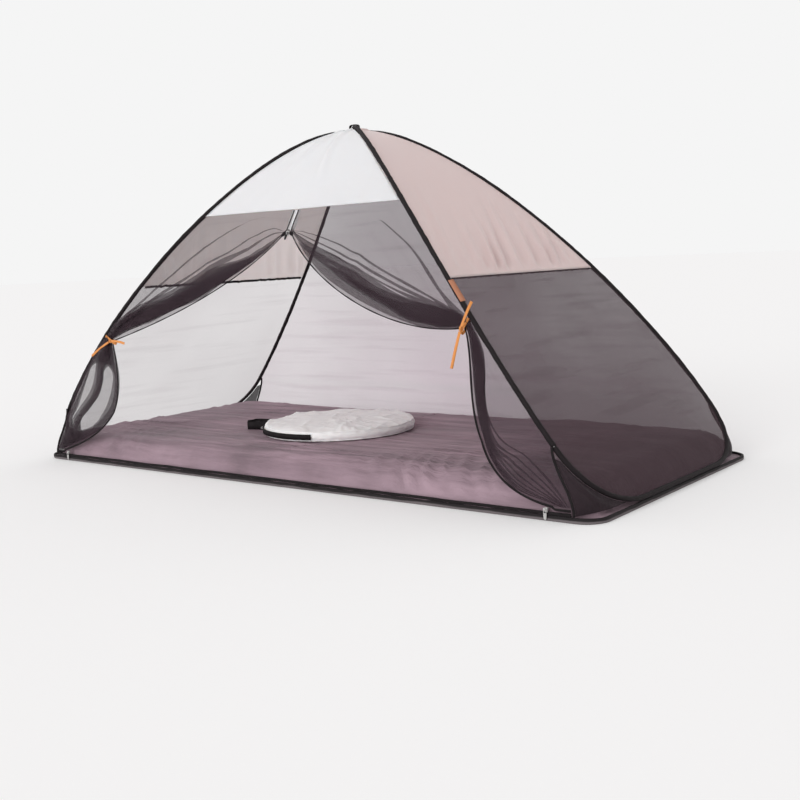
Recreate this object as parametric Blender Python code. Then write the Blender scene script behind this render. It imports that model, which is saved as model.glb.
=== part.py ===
"""Pop-up bed tent for a single mattress.

Two spring-wire arches cross at the top and turn along both ends, so the wire is
one figure of eight. Cloth sleeves hold the wire, panels and mesh walls hang
between them, and a two-slider zip closes the door in the front wall. The floor
sheet is raised by the mattress it covers, and its round bag lies on it.

Metres, +Z up. The origin is on the ground at the middle of the part, X runs
along the bed and the door faces -Y.
"""
import math

import bmesh
import bpy
from mathutils import Matrix, Vector

# Outer sizes of the tent
HALF_LENGTH = 0.985
HALF_WIDTH = 0.442
APEX_HEIGHT = 0.953
HEM_RADIUS = 0.060

# Bends of one quarter of the frame
APEX_HANDLE = 0.310
APEX_TURN = math.radians(45)
FOOT_INSET = 0.051
FOOT_RUN = 0.245
FOOT_BOW = 0.124
FOOT_RISE = 0.364
SPLIT_HEIGHT = 0.162
CORNER_HANDLE = 0.090
END_HANDLE = 0.150
END_STRAIGHT = 0.200
CROSSING_REACH = 0.150
SPLIT_GAP = 0.0012

# Wire, sleeves and bindings
WIRE_RADIUS = 0.0018
FERRULE_WALL = 0.0007
FERRULE_LENGTH = 0.030
SLEEVE_RADIUS = 0.0060
SLEEVE_WALL = 0.0010
BINDING_RADIUS = 0.0030
BINDING_WIDTH = 0.010
BINDING_THICKNESS = 0.0012
APEX_BAND_WIDTH = 0.010
APEX_BAND_THICKNESS = 0.0020
APEX_BAND_SLACK = 0.0015

# Cloth
PANEL_THICKNESS = 0.0010
CURTAIN_THICKNESS = 0.0012
FLOOR_THICKNESS = 0.0020
WALL_SAG = 0.012
FRONT_SEAM = 0.727
SIDE_SEAM = 0.532
BACK_SEAM = 0.772
GUSSET_REACH = 0.80
GUSSET_CLEARANCE = 0.0009
APEX_OPENING = 0.028

# Hem, floor and mattress edge
HEM_WIDTH = 0.008
HEM_HEIGHT = 0.014
FLOOR_TOP = 0.082
FLOOR_EDGE_ROUND = 0.070
FLOOR_LEDGE_LONG = 0.014
FLOOR_LEDGE_END = 0.032
SAG_FADE = 0.250

# Zips
TAPE_HEIGHT = 0.0095
TAPE_THICKNESS = 0.0014
TEETH_HEIGHT = 0.0025
TEETH_THICKNESS = 0.0026
EDGE_TAPE_WIDTH = 0.0060
EDGE_TAPE_THICKNESS = 0.0016
LEFT_SLIDER_X = -0.863
RIGHT_SLIDER_X = 0.857
TOP_SLIDER_HEIGHT = 0.669
CENTRE_SLIT = 0.010
DOOR_FOOT = 0.045
SLIDER_LENGTH = 0.011
SLIDER_WIDTH = 0.010
SLIDER_PLATE = 0.0010
SLIDER_WEB = 0.0020
BAIL_REACH = 0.0036
BAIL_SPAN = 0.0064
BAIL_RADIUS = 0.0006
BAIL_UPRIGHT = 0.35
BAIL_SIDES = 6
SLIDER_NOSE = 0.7
PULL_LENGTH = 0.022
PULL_WIDTH = 0.0080
PULL_THICKNESS = 0.0012
PULL_BAR = 0.0011
STOP_HEIGHT = 0.004
SLIDER_ROOM = 0.017

# Door curtains: tie, swag and drop, as distance from the middle and height
LEFT_TIE = (0.655, 0.376)
LEFT_SWAG = ((0.130, 0.532), (0.420, 0.437))
LEFT_DROP = ((0.610, 0.270), (0.560, 0.120))
RIGHT_TIE = (0.628, 0.420)
RIGHT_SWAG = ((0.120, 0.542), (0.400, 0.392))
RIGHT_DROP = ((0.690, 0.300), (0.600, 0.072))
CURTAIN_FOLDS = 4
SWAG_FOLD_DEPTH = 0.011
DROP_FOLD_DEPTH = 0.009
TIE_FOLD_DEPTH = 0.004
FOLD_STEEPNESS = 0.28
TIE_SHARE = 0.6
CURTAIN_ROWS = 28
CURTAIN_COLUMNS = 16
GATHER_START = 0.45
GATHER_SHARE = 0.30
GATHER_WIDTHS = (0.05, 0.15)

# Ribbon ties and the tab on the right arch
RIBBON_WIDTH = 0.007
RIBBON_SLACK = 0.0080
RIBBON_SEAT = 0.0008
RIBBON_LIFT = math.radians(50)
RIBBON_THICKNESS = 0.0010
KNOT_RADIUS = 0.0065
TAIL_LENGTH = 0.060
TAIL_DROOP = 0.010
TAB_TOP = 0.523
TAB_BOTTOM = 0.474
TAB_WIDTH = 0.014

# Carry bag
BAG_X = -0.092
BAG_Y = -0.026
BAG_RADIUS = 0.228
BAG_GUSSET = 0.024
BAG_CROWN = 0.009
BAG_PANEL = 0.0020
BAG_EDGE_ROUND = 0.012
BAG_TAPE_WIDTH = 0.016
BAG_SIDES = 36
BAG_ZIP_FIRST_SIDE = 21
BAG_ZIP_SIDES = 8
BAG_STRAP_ANGLE = math.radians(196)
BAG_STRAP_REACH = 0.060
BAG_STRAP_SPREAD = math.radians(9)
BAG_STRAP_WIDTH = 0.024
BAG_STRAP_THICKNESS = 0.0018

# Fits
CLEARANCE = 0.0003
CLOTH_CLEARANCE = 0.0005
TUBE_SIDES = 6

# Places worked out from the sizes above
FACET = math.cos(math.pi / TUBE_SIDES)
HEM_X = HALF_LENGTH - HEM_WIDTH / 2
HEM_Y = HALF_WIDTH - HEM_WIDTH / 2
WIRE_Z = HEM_HEIGHT + CLEARANCE + SLEEVE_RADIUS
CROSSING_LIFT = SLEEVE_RADIUS + CLEARANCE / 2
FERRULE_RADIUS = WIRE_RADIUS + CLEARANCE + FERRULE_WALL
WIRE_OFFSET = (SLEEVE_RADIUS - SLEEVE_WALL) * FACET - FERRULE_RADIUS / FACET - CLEARANCE
TAPE_BOTTOM = HEM_HEIGHT + CLEARANCE
TAPE_TOP = TAPE_BOTTOM + TAPE_HEIGHT
SLIDER_Z = TAPE_TOP + CLEARANCE + SLIDER_WEB / 2
SLIDER_GAP = TEETH_THICKNESS + 2 * CLEARANCE
DOOR_Y = HALF_WIDTH - TEETH_THICKNESS / 2 - CLEARANCE
SLIDER_DEPTH = SLIDER_GAP + 2 * SLIDER_PLATE
BAG_BOTTOM = FLOOR_TOP + CLEARANCE

QUARTERS = {
    "front_left": (-1, -1),
    "front_right": (1, -1),
    "back_left": (-1, 1),
    "back_right": (1, 1),
}
UP = Vector((0, 0, 1))
MATERIALS = {}


# Materials

def material(name):
    """Return the named material, made once."""
    looks = {
        "sleeve_cloth": ((0.020, 0.017, 0.019), 0.75, 0.0),
        "white_cloth": ((0.860, 0.860, 0.870), 0.60, 0.0),
        "beige_cloth": ((0.560, 0.440, 0.410), 0.65, 0.0),
        "grey_mesh": ((0.110, 0.085, 0.095), 0.70, 0.0),
        "floor_cloth": ((0.150, 0.110, 0.130), 0.45, 0.0),
        "black_tape": ((0.010, 0.009, 0.010), 0.60, 0.0),
        "steel": ((0.550, 0.540, 0.530), 0.30, 1.0),
        "black_metal": ((0.020, 0.020, 0.020), 0.40, 1.0),
        "orange_ribbon": ((0.780, 0.270, 0.090), 0.70, 0.0),
        "bag_cloth": ((0.760, 0.700, 0.680), 0.65, 0.0),
    }
    if name not in MATERIALS:
        colour, roughness, metallic = looks[name]
        made = bpy.data.materials.new(name)
        made.use_nodes = True
        shader = made.node_tree.nodes["Principled BSDF"]
        shader.inputs["Base Color"].default_value = (*colour, 1)
        shader.inputs["Roughness"].default_value = roughness
        shader.inputs["Metallic"].default_value = metallic
        made.diffuse_color = (*colour, 1)
        MATERIALS[name] = made
    return MATERIALS[name]


# Curves

def bezier(p0, p1, p2, p3, t):
    """Point of a cubic curve."""
    a, b, c, d = (1 - t) ** 3, 3 * t * (1 - t) ** 2, 3 * t * t * (1 - t), t ** 3
    return Vector(p0) * a + Vector(p1) * b + Vector(p2) * c + Vector(p3) * d


def smooth_step(low, high, value):
    """Rise from 0 to 1 between low and high."""
    share = min(max((value - low) / (high - low), 0), 1)
    return share * share * (3 - 2 * share)


def tangents(path, closed=False):
    """Unit direction at each point of a path."""
    count = len(path)
    made = []
    for i in range(count):
        before = path[i - 1] if (i or closed) else path[0]
        after = path[(i + 1) % count] if (i < count - 1 or closed) else path[-1]
        made.append((after - before).normalized())
    return made


def along(path, share):
    """Point at a share of a path's length."""
    lengths = [(b - a).length for a, b in zip(path, path[1:])]
    left = share * sum(lengths)
    for start, end, length in zip(path, path[1:], lengths):
        if left <= length:
            return start.lerp(end, left / length)
        left -= length
    return path[-1].copy()


def arch(t):
    """Centreline of one quarter of the frame, from the apex down."""
    foot = Vector((HALF_LENGTH + CLEARANCE, HALF_WIDTH - FOOT_INSET, 0))
    top = Vector((0, 0, APEX_HEIGHT))
    lean = Vector((math.cos(APEX_TURN), math.sin(APEX_TURN), 0)) * APEX_HANDLE
    return bezier(top, top + lean, foot + Vector((-FOOT_RUN, FOOT_BOW, FOOT_RISE)), foot, t)


def arch_at(height):
    """Share of the arch's curve at which it has come down to a height."""
    low, high = 0.0, 1.0
    while high - low > 1e-7:
        middle = (low + high) / 2
        if arch(middle).z > height:
            low = middle
        else:
            high = middle
    return low


def arch_beside(reach):
    """Share of the arch's curve at which it is this far along X."""
    low, high = 0.0, 1.0
    while high - low > 1e-7:
        middle = (low + high) / 2
        if arch(middle).x < reach:
            low = middle
        else:
            high = middle
    return low


def spaced(start, end, count):
    """Evenly spaced values, both ends included."""
    return [start + (end - start) * i / count for i in range(count + 1)]


T_TIP = arch_beside(APEX_OPENING)
T_BACK = arch_at(BACK_SEAM)
T_FRONT = arch_at(FRONT_SEAM)
T_SIDE = arch_at(SIDE_SEAM)
T_SPLIT = arch_at(SPLIT_HEIGHT)
TO_TIP = spaced(0, T_TIP, 2)
TO_BACK = spaced(T_TIP, T_BACK, 6)
TO_FRONT = [T_BACK, T_FRONT]
TO_SIDE = spaced(T_FRONT, T_SIDE, 4)
TO_SPLIT = spaced(T_SIDE, T_SPLIT, 7)
SPLIT = arch(T_SPLIT)
SPLIT_DIRECTION = (arch(T_SPLIT + 0.001) - arch(T_SPLIT - 0.001)).normalized()
CORNER_STEPS = 8
SEAM_STEPS = 6


def corner_turn(u):
    """Wire below the split, where it turns along the end of the tent."""
    end = Vector((HEM_X, END_STRAIGHT, WIRE_Z))
    start_handle = SPLIT + SPLIT_DIRECTION * CORNER_HANDLE
    return bezier(SPLIT, start_handle, end + Vector((0, END_HANDLE, 0)), end, u)


def corner_seam(u):
    """Seam from the split to the hem's corner, beside the sleeve."""
    side = (Vector((0, 1, 0)) - SPLIT_DIRECTION * SPLIT_DIRECTION.y).normalized()
    start = SPLIT + side * (SLEEVE_RADIUS + BINDING_RADIUS + CLEARANCE)
    end = Vector((HALF_LENGTH - HEM_RADIUS, HEM_Y, HEM_HEIGHT + 3 * CLEARANCE))
    drop = (start.z - end.z) / 3
    return bezier(start, start - UP * drop, end + UP * drop, end, u)


def quarter(point, signs):
    """Move a point to the named quarter."""
    return Vector((point.x * signs[0], point.y * signs[1], point.z))


def crossing(point, lift):
    """Raise or lower a wire near the apex, where the arches cross."""
    reach = math.hypot(point.x, point.y)
    if reach < CROSSING_REACH:
        share = math.cos(math.pi * reach / (2 * CROSSING_REACH)) ** 2
        point = point + UP * (lift * share)
    return point


def half_arch(signs, lift):
    """Arch samples from the apex to the split."""
    values = TO_TIP + TO_BACK[1:] + TO_FRONT[1:] + TO_SIDE[1:] + TO_SPLIT[1:]
    return [quarter(crossing(arch(t), lift), signs) for t in values]


def half_end(signs, middle_gap):
    """Samples from the split to the middle of the end."""
    points = [quarter(corner_turn(i / CORNER_STEPS), signs) for i in range(CORNER_STEPS + 1)]
    points.append(Vector((signs[0] * HEM_X, signs[1] * middle_gap, WIRE_Z)))
    return points


def outward(point, direction):
    """Direction away from the middle of the tent, square to a path."""
    away = point - Vector((0, 0, APEX_HEIGHT / 3))
    return (away - direction * away.dot(direction)).normalized()


# Solids

def finish(obj, surface, smooth=None):
    """Link an object, give it its material and shade it."""
    bpy.context.scene.collection.objects.link(obj)
    obj.data.materials.append(material(surface))
    if smooth is not None and obj.type == "MESH":
        obj.data.shade_smooth()
        obj.data.set_sharp_from_angle(angle=math.radians(smooth))
    return obj


def mesh_object(name, bm, surface, smooth=None):
    """Turn a bmesh into an object."""
    data = bpy.data.meshes.new(name)
    bm.to_mesh(data)
    bm.free()
    return finish(bpy.data.objects.new(name, data), surface, smooth)


def tube(name, path, radius, surface, wall):
    """Hollow round tube along a path."""
    data = bpy.data.curves.new(name, "CURVE")
    data.dimensions = "3D"
    data.bevel_depth = radius
    data.bevel_resolution = (TUBE_SIDES - 4) // 2
    data.use_fill_caps = False
    spline = data.splines.new("POLY")
    spline.points.add(len(path) - 1)
    for target, point in zip(spline.points, path):
        target.co = (*point, 1)
    spline.use_smooth = True
    obj = bpy.data.objects.new(name, data)
    finish(obj, surface)
    solidify(obj, wall, -1)


def rod(name, path, radius, surface):
    """Solid round bar along a path."""
    rings = []
    side = (path[1] - path[0]).orthogonal()
    for point, way in zip(path, tangents(path)):
        side = (side - way * side.dot(way)).normalized()
        over = way.cross(side)
        turns = [2 * math.pi * k / TUBE_SIDES for k in range(TUBE_SIDES)]
        rings.append([point + (side * math.cos(a) + over * math.sin(a)) * radius for a in turns])
    loft(name, rings, surface, smooth=70)


def solidify(obj, thickness, offset):
    """Give a surface its thickness."""
    shell = obj.modifiers.new("thickness", "SOLIDIFY")
    shell.thickness = thickness
    shell.offset = offset
    shell.use_rim = True
    return obj


def loft(name, rings, surface, closed=False, smooth=None):
    """Join rings of points into one closed solid."""
    bm = bmesh.new()
    loops = [[bm.verts.new(point) for point in ring] for ring in rings]
    pairs = list(zip(loops, loops[1:]))
    if closed:
        pairs.append((loops[-1], loops[0]))
    count = len(rings[0])
    for first, second in pairs:
        for i in range(count):
            j = (i + 1) % count
            bm.faces.new((first[i], first[j], second[j], second[i]))
    if not closed:
        bm.faces.new(loops[0])
        bm.faces.new(loops[-1])
    bmesh.ops.recalc_face_normals(bm, faces=bm.faces)
    return mesh_object(name, bm, surface, smooth)


def ribbon_rings(path, width, thickness, facing, closed=False):
    """Rectangular sections of a band whose flat side faces a direction."""
    rings = []
    for point, direction in zip(path, tangents(path, closed)):
        normal = facing(point, direction)
        normal = (normal - direction * normal.dot(direction)).normalized()
        side = direction.cross(normal) * width / 2
        up = normal * thickness / 2
        rings.append([point + side + up, point - side + up, point - side - up, point + side - up])
    return rings


def ribbon(name, path, width, thickness, facing, surface, closed=False):
    """Flat band along a path."""
    rings = ribbon_rings(path, width, thickness, facing, closed)
    return loft(name, rings, surface, closed)


def sheet(name, rows, thickness, surface):
    """Cloth through a grid of points."""
    bm = bmesh.new()
    grid = [[bm.verts.new(point) for point in row] for row in rows]
    for upper, lower in zip(grid, grid[1:]):
        for i in range(len(upper) - 1):
            bm.faces.new((upper[i], upper[i + 1], lower[i + 1], lower[i]))
    obj = mesh_object(name, bm, surface, smooth=60)
    return solidify(obj, thickness, 0)


def box(bm, size, centre):
    """Add a box to a bmesh."""
    place = Matrix.Translation(centre) @ Matrix.Diagonal((*size, 1))
    bmesh.ops.create_cube(bm, size=1, matrix=place)


def rounded_corner(inset_x, inset_y, radius, height, steps=6):
    """Quarter of the hem's outline, from the long side to the end."""
    centre_x = HALF_LENGTH - inset_x - radius
    centre_y = HALF_WIDTH - inset_y - radius
    points = []
    for i in range(steps + 1):
        angle = math.pi / 2 * (1 - i / steps)
        x = centre_x + radius * math.cos(angle)
        y = centre_y + radius * math.sin(angle)
        points.append(Vector((x, y, height)))
    return points


def outline(inset_x, inset_y, radius, height):
    """Closed rectangle with round corners, inside the hem's outer edge."""
    corner = rounded_corner(inset_x, inset_y, radius, height)
    back_right = corner
    front_right = [quarter(point, (1, -1)) for point in reversed(corner)]
    front_left = [quarter(point, (-1, -1)) for point in corner]
    back_left = [quarter(point, (-1, 1)) for point in reversed(corner)]
    return back_right + front_right + front_left + back_left


# Frame

def wire_path(first, second, lift):
    """Whole route of one spring wire, end to end."""
    left = half_arch(first, lift) + half_end(first, CLEARANCE)[1:]
    right = half_arch(second, lift) + half_end(second, CLEARANCE)[1:]
    route = list(reversed(left)) + right[1:]
    return [point + outward(point, way) * WIRE_OFFSET for point, way in zip(route, tangents(route))]


def build_frame():
    """Spring wire, its ferrules and the sleeves that hold it."""
    lifts = {"a": -CROSSING_LIFT, "b": CROSSING_LIFT}
    ends = {"a": ("front_left", "back_right"), "b": ("back_left", "front_right")}
    for key, (first, second) in ends.items():
        one, two = QUARTERS[first], QUARTERS[second]
        rod("spring_wire_" + key, wire_path(one, two, lifts[key]), WIRE_RADIUS, "steel")
        route = list(reversed(half_arch(one, lifts[key]))) + half_arch(two, lifts[key])[1:]
        tube("arch_sleeve_" + key, route, SLEEVE_RADIUS, "sleeve_cloth", SLEEVE_WALL)
    for name, sign in (("left", -1), ("right", 1)):
        front = half_end((sign, -1), 0)
        back = half_end((sign, 1), 0)
        for side in (front, back):
            side[0] = side[0].lerp(side[1], SPLIT_GAP / (side[1] - side[0]).length)
        tube("end_sleeve_" + name, front[:-1] + list(reversed(back[:-1])), SLEEVE_RADIUS,
             "sleeve_cloth", SLEEVE_WALL)
        middle = Vector((sign * HEM_X, 0, WIRE_Z))
        middle += outward(middle, Vector((0, 1, 0))) * WIRE_OFFSET
        half = Vector((0, FERRULE_LENGTH / 2, 0))
        tube("wire_ferrule_" + name, [middle - half, middle + half], FERRULE_RADIUS / FACET,
             "steel", FERRULE_WALL)


def build_apex_band():
    """Cloth loop that ties the two sleeves together where they cross."""
    half_x = APEX_BAND_WIDTH / 2 + SLEEVE_RADIUS * math.sqrt(2) + APEX_BAND_SLACK + APEX_BAND_THICKNESS / 2
    half_z = 2 * SLEEVE_RADIUS + 2 * CLEARANCE + APEX_BAND_THICKNESS / 2
    path = []
    for i in range(16):
        angle = 2 * math.pi * i / 16
        across = math.copysign(abs(math.cos(angle)) ** 0.4, math.cos(angle))
        over = math.copysign(abs(math.sin(angle)) ** 0.4, math.sin(angle))
        path.append(Vector((across * half_x, 0, APEX_HEIGHT + over * half_z)))
    middle = Vector((0, 0, APEX_HEIGHT))
    ribbon("apex_band", path, APEX_BAND_WIDTH, APEX_BAND_THICKNESS,
           lambda point, way: point - middle, "sleeve_cloth", closed=True)


# Walls

def edge_offset(direction, along_x):
    """How far a panel's edge stays from the sleeve's middle, along its rows."""
    share = direction.x if along_x else direction.y
    reach = SLEEVE_RADIUS + PANEL_THICKNESS / 2 + CLOTH_CLEARANCE
    return reach / math.sqrt(1 - share * share)


def arch_edge(t, along_x):
    """Edge of a panel beside the arch, in the first quarter."""
    way = (arch(min(t + 0.002, 1)) - arch(max(t - 0.002, 0))).normalized()
    point = arch(t)
    step = edge_offset(way, along_x)
    shift = Vector((step, 0, 0)) if along_x else Vector((0, step, 0))
    return point - shift


def seam_edge(u):
    """Edge of a long wall beside the corner seam."""
    reach = BINDING_RADIUS + PANEL_THICKNESS / 2 + CLOTH_CLEARANCE
    point = corner_seam(u) - Vector((reach, 0, 0))
    point.z = max(point.z, HEM_HEIGHT + PANEL_THICKNESS / 2 + CLEARANCE)
    return point


def turn_edge(u):
    """Edge of an end wall above the wire's turn."""
    ahead, behind = corner_turn(min(u + 0.01, 1)), corner_turn(max(u - 0.01, 0))
    way = (ahead - behind).normalized()
    slope = SPLIT_DIRECTION.cross(Vector((0, 1, 0))).normalized()
    slope = (slope - way * slope.dot(way)).normalized()
    inward = slope.cross(way)
    if inward.z < 0:
        inward = -inward
    reach = SLEEVE_RADIUS + PANEL_THICKNESS / 2 + CLOTH_CLEARANCE
    return corner_turn(u) + inward * reach


def sag_at(share, reach, height):
    """How far a wall is drawn in, at a share of its row."""
    fade = smooth_step(HEM_HEIGHT, HEM_HEIGHT + SAG_FADE, height)
    return WALL_SAG * 4 * share * (1 - share) * min(reach, 1) * fade


def long_row(edge, sign_y, columns, margin=0.0):
    """Row of a long wall, from left to right."""
    row = []
    for share in spaced(margin, 1 - margin, columns):
        sag = sag_at(share, edge.x / HALF_LENGTH, edge.z)
        row.append(Vector((edge.x * (2 * share - 1), sign_y * (edge.y - sag), edge.z)))
    return row


def end_row(edge, sign_x, columns, margin=0.0):
    """Row of an end wall, from front to back."""
    row = []
    for share in spaced(margin, 1 - margin, columns):
        sag = sag_at(share, edge.y / HALF_WIDTH, edge.z)
        row.append(Vector((sign_x * (edge.x - sag), edge.y * (2 * share - 1), edge.z)))
    return row


def just_below(t):
    """A place on the arch just under a seam."""
    step = 0.0001
    return t + step * 2 * (PANEL_THICKNESS / 2 + CLEARANCE) / (arch(t) - arch(t + step)).length


def build_walls():
    """White and beige panels at the top, mesh walls below them."""
    front = [long_row(arch_edge(t, True), -1, 10) for t in TO_BACK + TO_FRONT[1:]]
    sheet("front_upper_panel", front, PANEL_THICKNESS, "white_cloth")
    back = [long_row(arch_edge(t, True), 1, 8) for t in TO_BACK]
    sheet("back_upper_panel", back, PANEL_THICKNESS, "beige_cloth")
    lower = [just_below(T_BACK), T_FRONT] + TO_SIDE[2::2] + TO_SPLIT[1::2]
    rows = [long_row(arch_edge(t, True), 1, 12) for t in lower]
    rows += [long_row(seam_edge(u), 1, 12) for u in (0.35, 0.7, 1.0)]
    sheet("back_mesh_wall", rows, PANEL_THICKNESS, "grey_mesh")
    for name, sign in (("left", -1), ("right", 1)):
        upper = TO_BACK + TO_FRONT[1:] + TO_SIDE[1:]
        rows = [end_row(arch_edge(t, False), sign, 6) for t in upper]
        sheet(name + "_upper_panel", rows, PANEL_THICKNESS, "beige_cloth")
        rows = [end_row(arch_edge(t, False), sign, 8) for t in [just_below(T_SIDE)] + TO_SPLIT[1:-1]]
        rows += [end_row(turn_edge(i / CORNER_STEPS), sign, 8) for i in range(1, CORNER_STEPS + 1)]
        sheet(name + "_mesh_wall", rows, PANEL_THICKNESS, "grey_mesh")


def inside_normal(t, along_x, sign):
    """Direction into the tent, square to a wall at a place on the arch."""
    way = arch(t + 0.002) - arch(t - 0.002)
    if along_x:
        return Vector((0, way.z * sign, -way.y)).normalized()
    return Vector((way.z * sign, 0, -way.x)).normalized()


def build_seam_bindings():
    """Flat tapes on the inside of the seams between panel and mesh."""
    depth = PANEL_THICKNESS / 2 + CLOTH_CLEARANCE + BINDING_THICKNESS / 2
    walls = {
        "back": (long_row, T_BACK, True, 1),
        "left": (end_row, T_SIDE, False, -1),
        "right": (end_row, T_SIDE, False, 1),
    }
    for name, (row, t, along_x, sign) in walls.items():
        normal = inside_normal(t, along_x, sign)
        edge = arch_edge(t, along_x)
        reach = edge.x if along_x else edge.y
        margin = BINDING_WIDTH / (2 * reach)
        path = [point + normal * depth for point in row(edge, sign, 8, margin)]
        ribbon("seam_binding_" + name, path, BINDING_WIDTH, BINDING_THICKNESS,
               lambda point, way, n=normal: n, "black_tape")


def beside_turn(u, other):
    """Place beside the sleeve's turn, towards another point."""
    way = (corner_turn(min(u + 0.01, 1)) - corner_turn(max(u - 0.01, 0))).normalized()
    point = corner_turn(u)
    side = other - point
    side = (side - way * side.dot(way)).normalized()
    return point + side * (SLEEVE_RADIUS + PANEL_THICKNESS / 2 + GUSSET_CLEARANCE)


def gusset_rows():
    """Mesh corner between the seam, the wire's turn and the hem."""
    steps = 6
    lowest = HEM_HEIGHT + PANEL_THICKNESS / 2 + CLEARANCE
    corner = rounded_corner(HEM_WIDTH / 2, HEM_WIDTH / 2, HEM_RADIUS - HEM_WIDTH / 2, lowest)
    seam_gap = BINDING_RADIUS + PANEL_THICKNESS / 2 + GUSSET_CLEARANCE
    rows = []
    for v in spaced(0, 1, SEAM_STEPS)[1:]:
        seam = corner_seam(v)
        seam.z = max(seam.z, lowest)
        right = beside_turn(v * GUSSET_REACH, seam)
        left = seam + (right - seam).normalized() * seam_gap
        row = []
        for j in range(steps + 1):
            bulge = (corner[j] - corner[0].lerp(corner[-1], j / steps)) * v
            point = left.lerp(right, j / steps) + bulge
            point.z = max(point.z, lowest)
            row.append(point)
        rows.append(row)
    return rows


def build_corners():
    """Corner seams and the mesh gussets beside them."""
    seam = [corner_seam(v) for v in spaced(0, 1, SEAM_STEPS)]
    rows = gusset_rows()
    for name, signs in QUARTERS.items():
        rod("corner_binding_" + name, [quarter(point, signs) for point in seam],
            BINDING_RADIUS, "black_tape")
        sheet("corner_gusset_" + name, [[quarter(point, signs) for point in row] for row in rows],
              PANEL_THICKNESS, "grey_mesh")


# Hem and floor

def floor_rings():
    """Outlines of the floor sheet, from the hem up over the mattress's edge."""
    low = HEM_HEIGHT / 2
    rim = HEM_WIDTH + CLEARANCE
    top = FLOOR_TOP - FLOOR_THICKNESS / 2
    rings = [outline(rim, rim, HEM_RADIUS - rim, low)]
    for share in (0.0, 0.06, 0.2, 0.45, 0.7, 1.0):
        rise = math.sqrt(1 - (1 - share) ** 2)
        inset_x = FLOOR_LEDGE_END + FLOOR_EDGE_ROUND * share
        inset_y = FLOOR_LEDGE_LONG + FLOOR_EDGE_ROUND * share
        rings.append(outline(inset_x, inset_y, HEM_RADIUS, low + (top - low) * rise))
    return rings


def build_base():
    """Hem that the tent stands on, and the floor sheet inside it."""
    hem = outline(HEM_WIDTH / 2, HEM_WIDTH / 2, HEM_RADIUS - HEM_WIDTH / 2, HEM_HEIGHT / 2)
    ribbon("base_hem", hem, HEM_HEIGHT, HEM_WIDTH,
           lambda point, way: way.cross(UP), "black_tape", closed=True)
    bm = bmesh.new()
    loops = [[bm.verts.new(point) for point in ring] for ring in floor_rings()]
    count = len(loops[0])
    for outer, inner in zip(loops, loops[1:]):
        for i in range(count):
            j = (i + 1) % count
            bm.faces.new((outer[i], outer[j], inner[j], inner[i]))
    bm.faces.new(loops[-1])
    bmesh.ops.recalc_face_normals(bm, faces=bm.faces)
    obj = mesh_object("floor_sheet", bm, "floor_cloth", smooth=60)
    solidify(obj, FLOOR_THICKNESS, 0)


# Door curtains

def long_wall_y(height):
    """How far the long wall stands from the middle at a height."""
    if height > SPLIT_HEIGHT:
        return arch(arch_at(height)).y
    share = min((SPLIT_HEIGHT - height) / (SPLIT_HEIGHT - DOOR_FOOT), 1)
    return SPLIT.y + (DOOR_Y - SPLIT.y) * share


def on_front(x, height):
    """Point of the front wall."""
    return Vector((x, -long_wall_y(height), height))


def wall_out(height):
    """Outward direction of the front wall at a height."""
    step = 0.002
    rise = on_front(0, height + step) - on_front(0, height - step)
    return Vector((0, -rise.z, rise.y)).normalized()


def curtain_foot():
    """Height of the curtain's lowest edge, above the closed zip."""
    return TAPE_TOP + 2 * CLEARANCE + 1.6 * EDGE_TAPE_WIDTH


def sewn_edge():
    """Top and side of a curtain, from the middle slit to the hem's corner."""
    top_t = just_below(T_FRONT)
    top = arch_edge(top_t, True)
    points = []
    for x in spaced(CENTRE_SLIT, top.x, 8)[:-1]:
        sag = sag_at(0.5 + 0.5 * x / top.x, top.x / HALF_LENGTH, top.z)
        points.append(Vector((x, -(top.y - sag), top.z)))
    gap = Vector((CLOTH_CLEARANCE * 3, 0, 0))
    for t in [top_t] + TO_SIDE[1:] + TO_SPLIT[1:]:
        edge = arch_edge(t, True) - gap
        points.append(Vector((edge.x, -edge.y, edge.z)))
    foot = curtain_foot()
    for u in (0.3, 0.6, 0.9):
        edge = seam_edge(u) - gap
        if edge.z > foot + PANEL_THICKNESS:
            points.append(Vector((edge.x, -edge.y, edge.z)))
    edge = seam_edge(0.95) - gap
    points.append(Vector((edge.x, -DOOR_Y, foot)))
    return points


def free_edge(tie, swag, drop, slider_x, t):
    """Open edge of a curtain: down the swag to the tie, then to the slider."""
    if t <= TIE_SHARE:
        points, u = ((CENTRE_SLIT, TOP_SLIDER_HEIGHT), *swag, tie), t / TIE_SHARE
    else:
        end = (abs(slider_x) + SLIDER_LENGTH / 2 + SLIDER_ROOM, curtain_foot())
        points, u = (tie, *drop, end), (t - TIE_SHARE) / (1 - TIE_SHARE)
    flat = bezier(*[(x, 0, z) for x, z in points], u)
    return on_front(flat.x, flat.z)


def nearest_share(path, point):
    """Share of a path that lies nearest to a point."""
    return min(spaced(0, 1, 200), key=lambda share: (along(path, share) - point).length)


def gathered(width):
    """Share of a row that its gathered part fills, less where the row is wide."""
    even = 1 - GATHER_START
    return even + (GATHER_SHARE - even) * smooth_step(*GATHER_WIDTHS, width)


def fold_depth(t, width):
    """Depth of a curtain's folds, no steeper than its gathered width allows."""
    if t < TIE_SHARE:
        deep = SWAG_FOLD_DEPTH * math.sin(math.pi * t / TIE_SHARE) ** 0.7
    else:
        deep = DROP_FOLD_DEPTH * math.sin(math.pi * (t - TIE_SHARE) / (1 - TIE_SHARE))
    at_tie = TIE_FOLD_DEPTH * max(0, 1 - abs(t - TIE_SHARE) / 0.15)
    wave = gathered(width) * width / ((1 - GATHER_START) * CURTAIN_FOLDS)
    return min(deep + at_tie, FOLD_STEEPNESS * wave)


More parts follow.
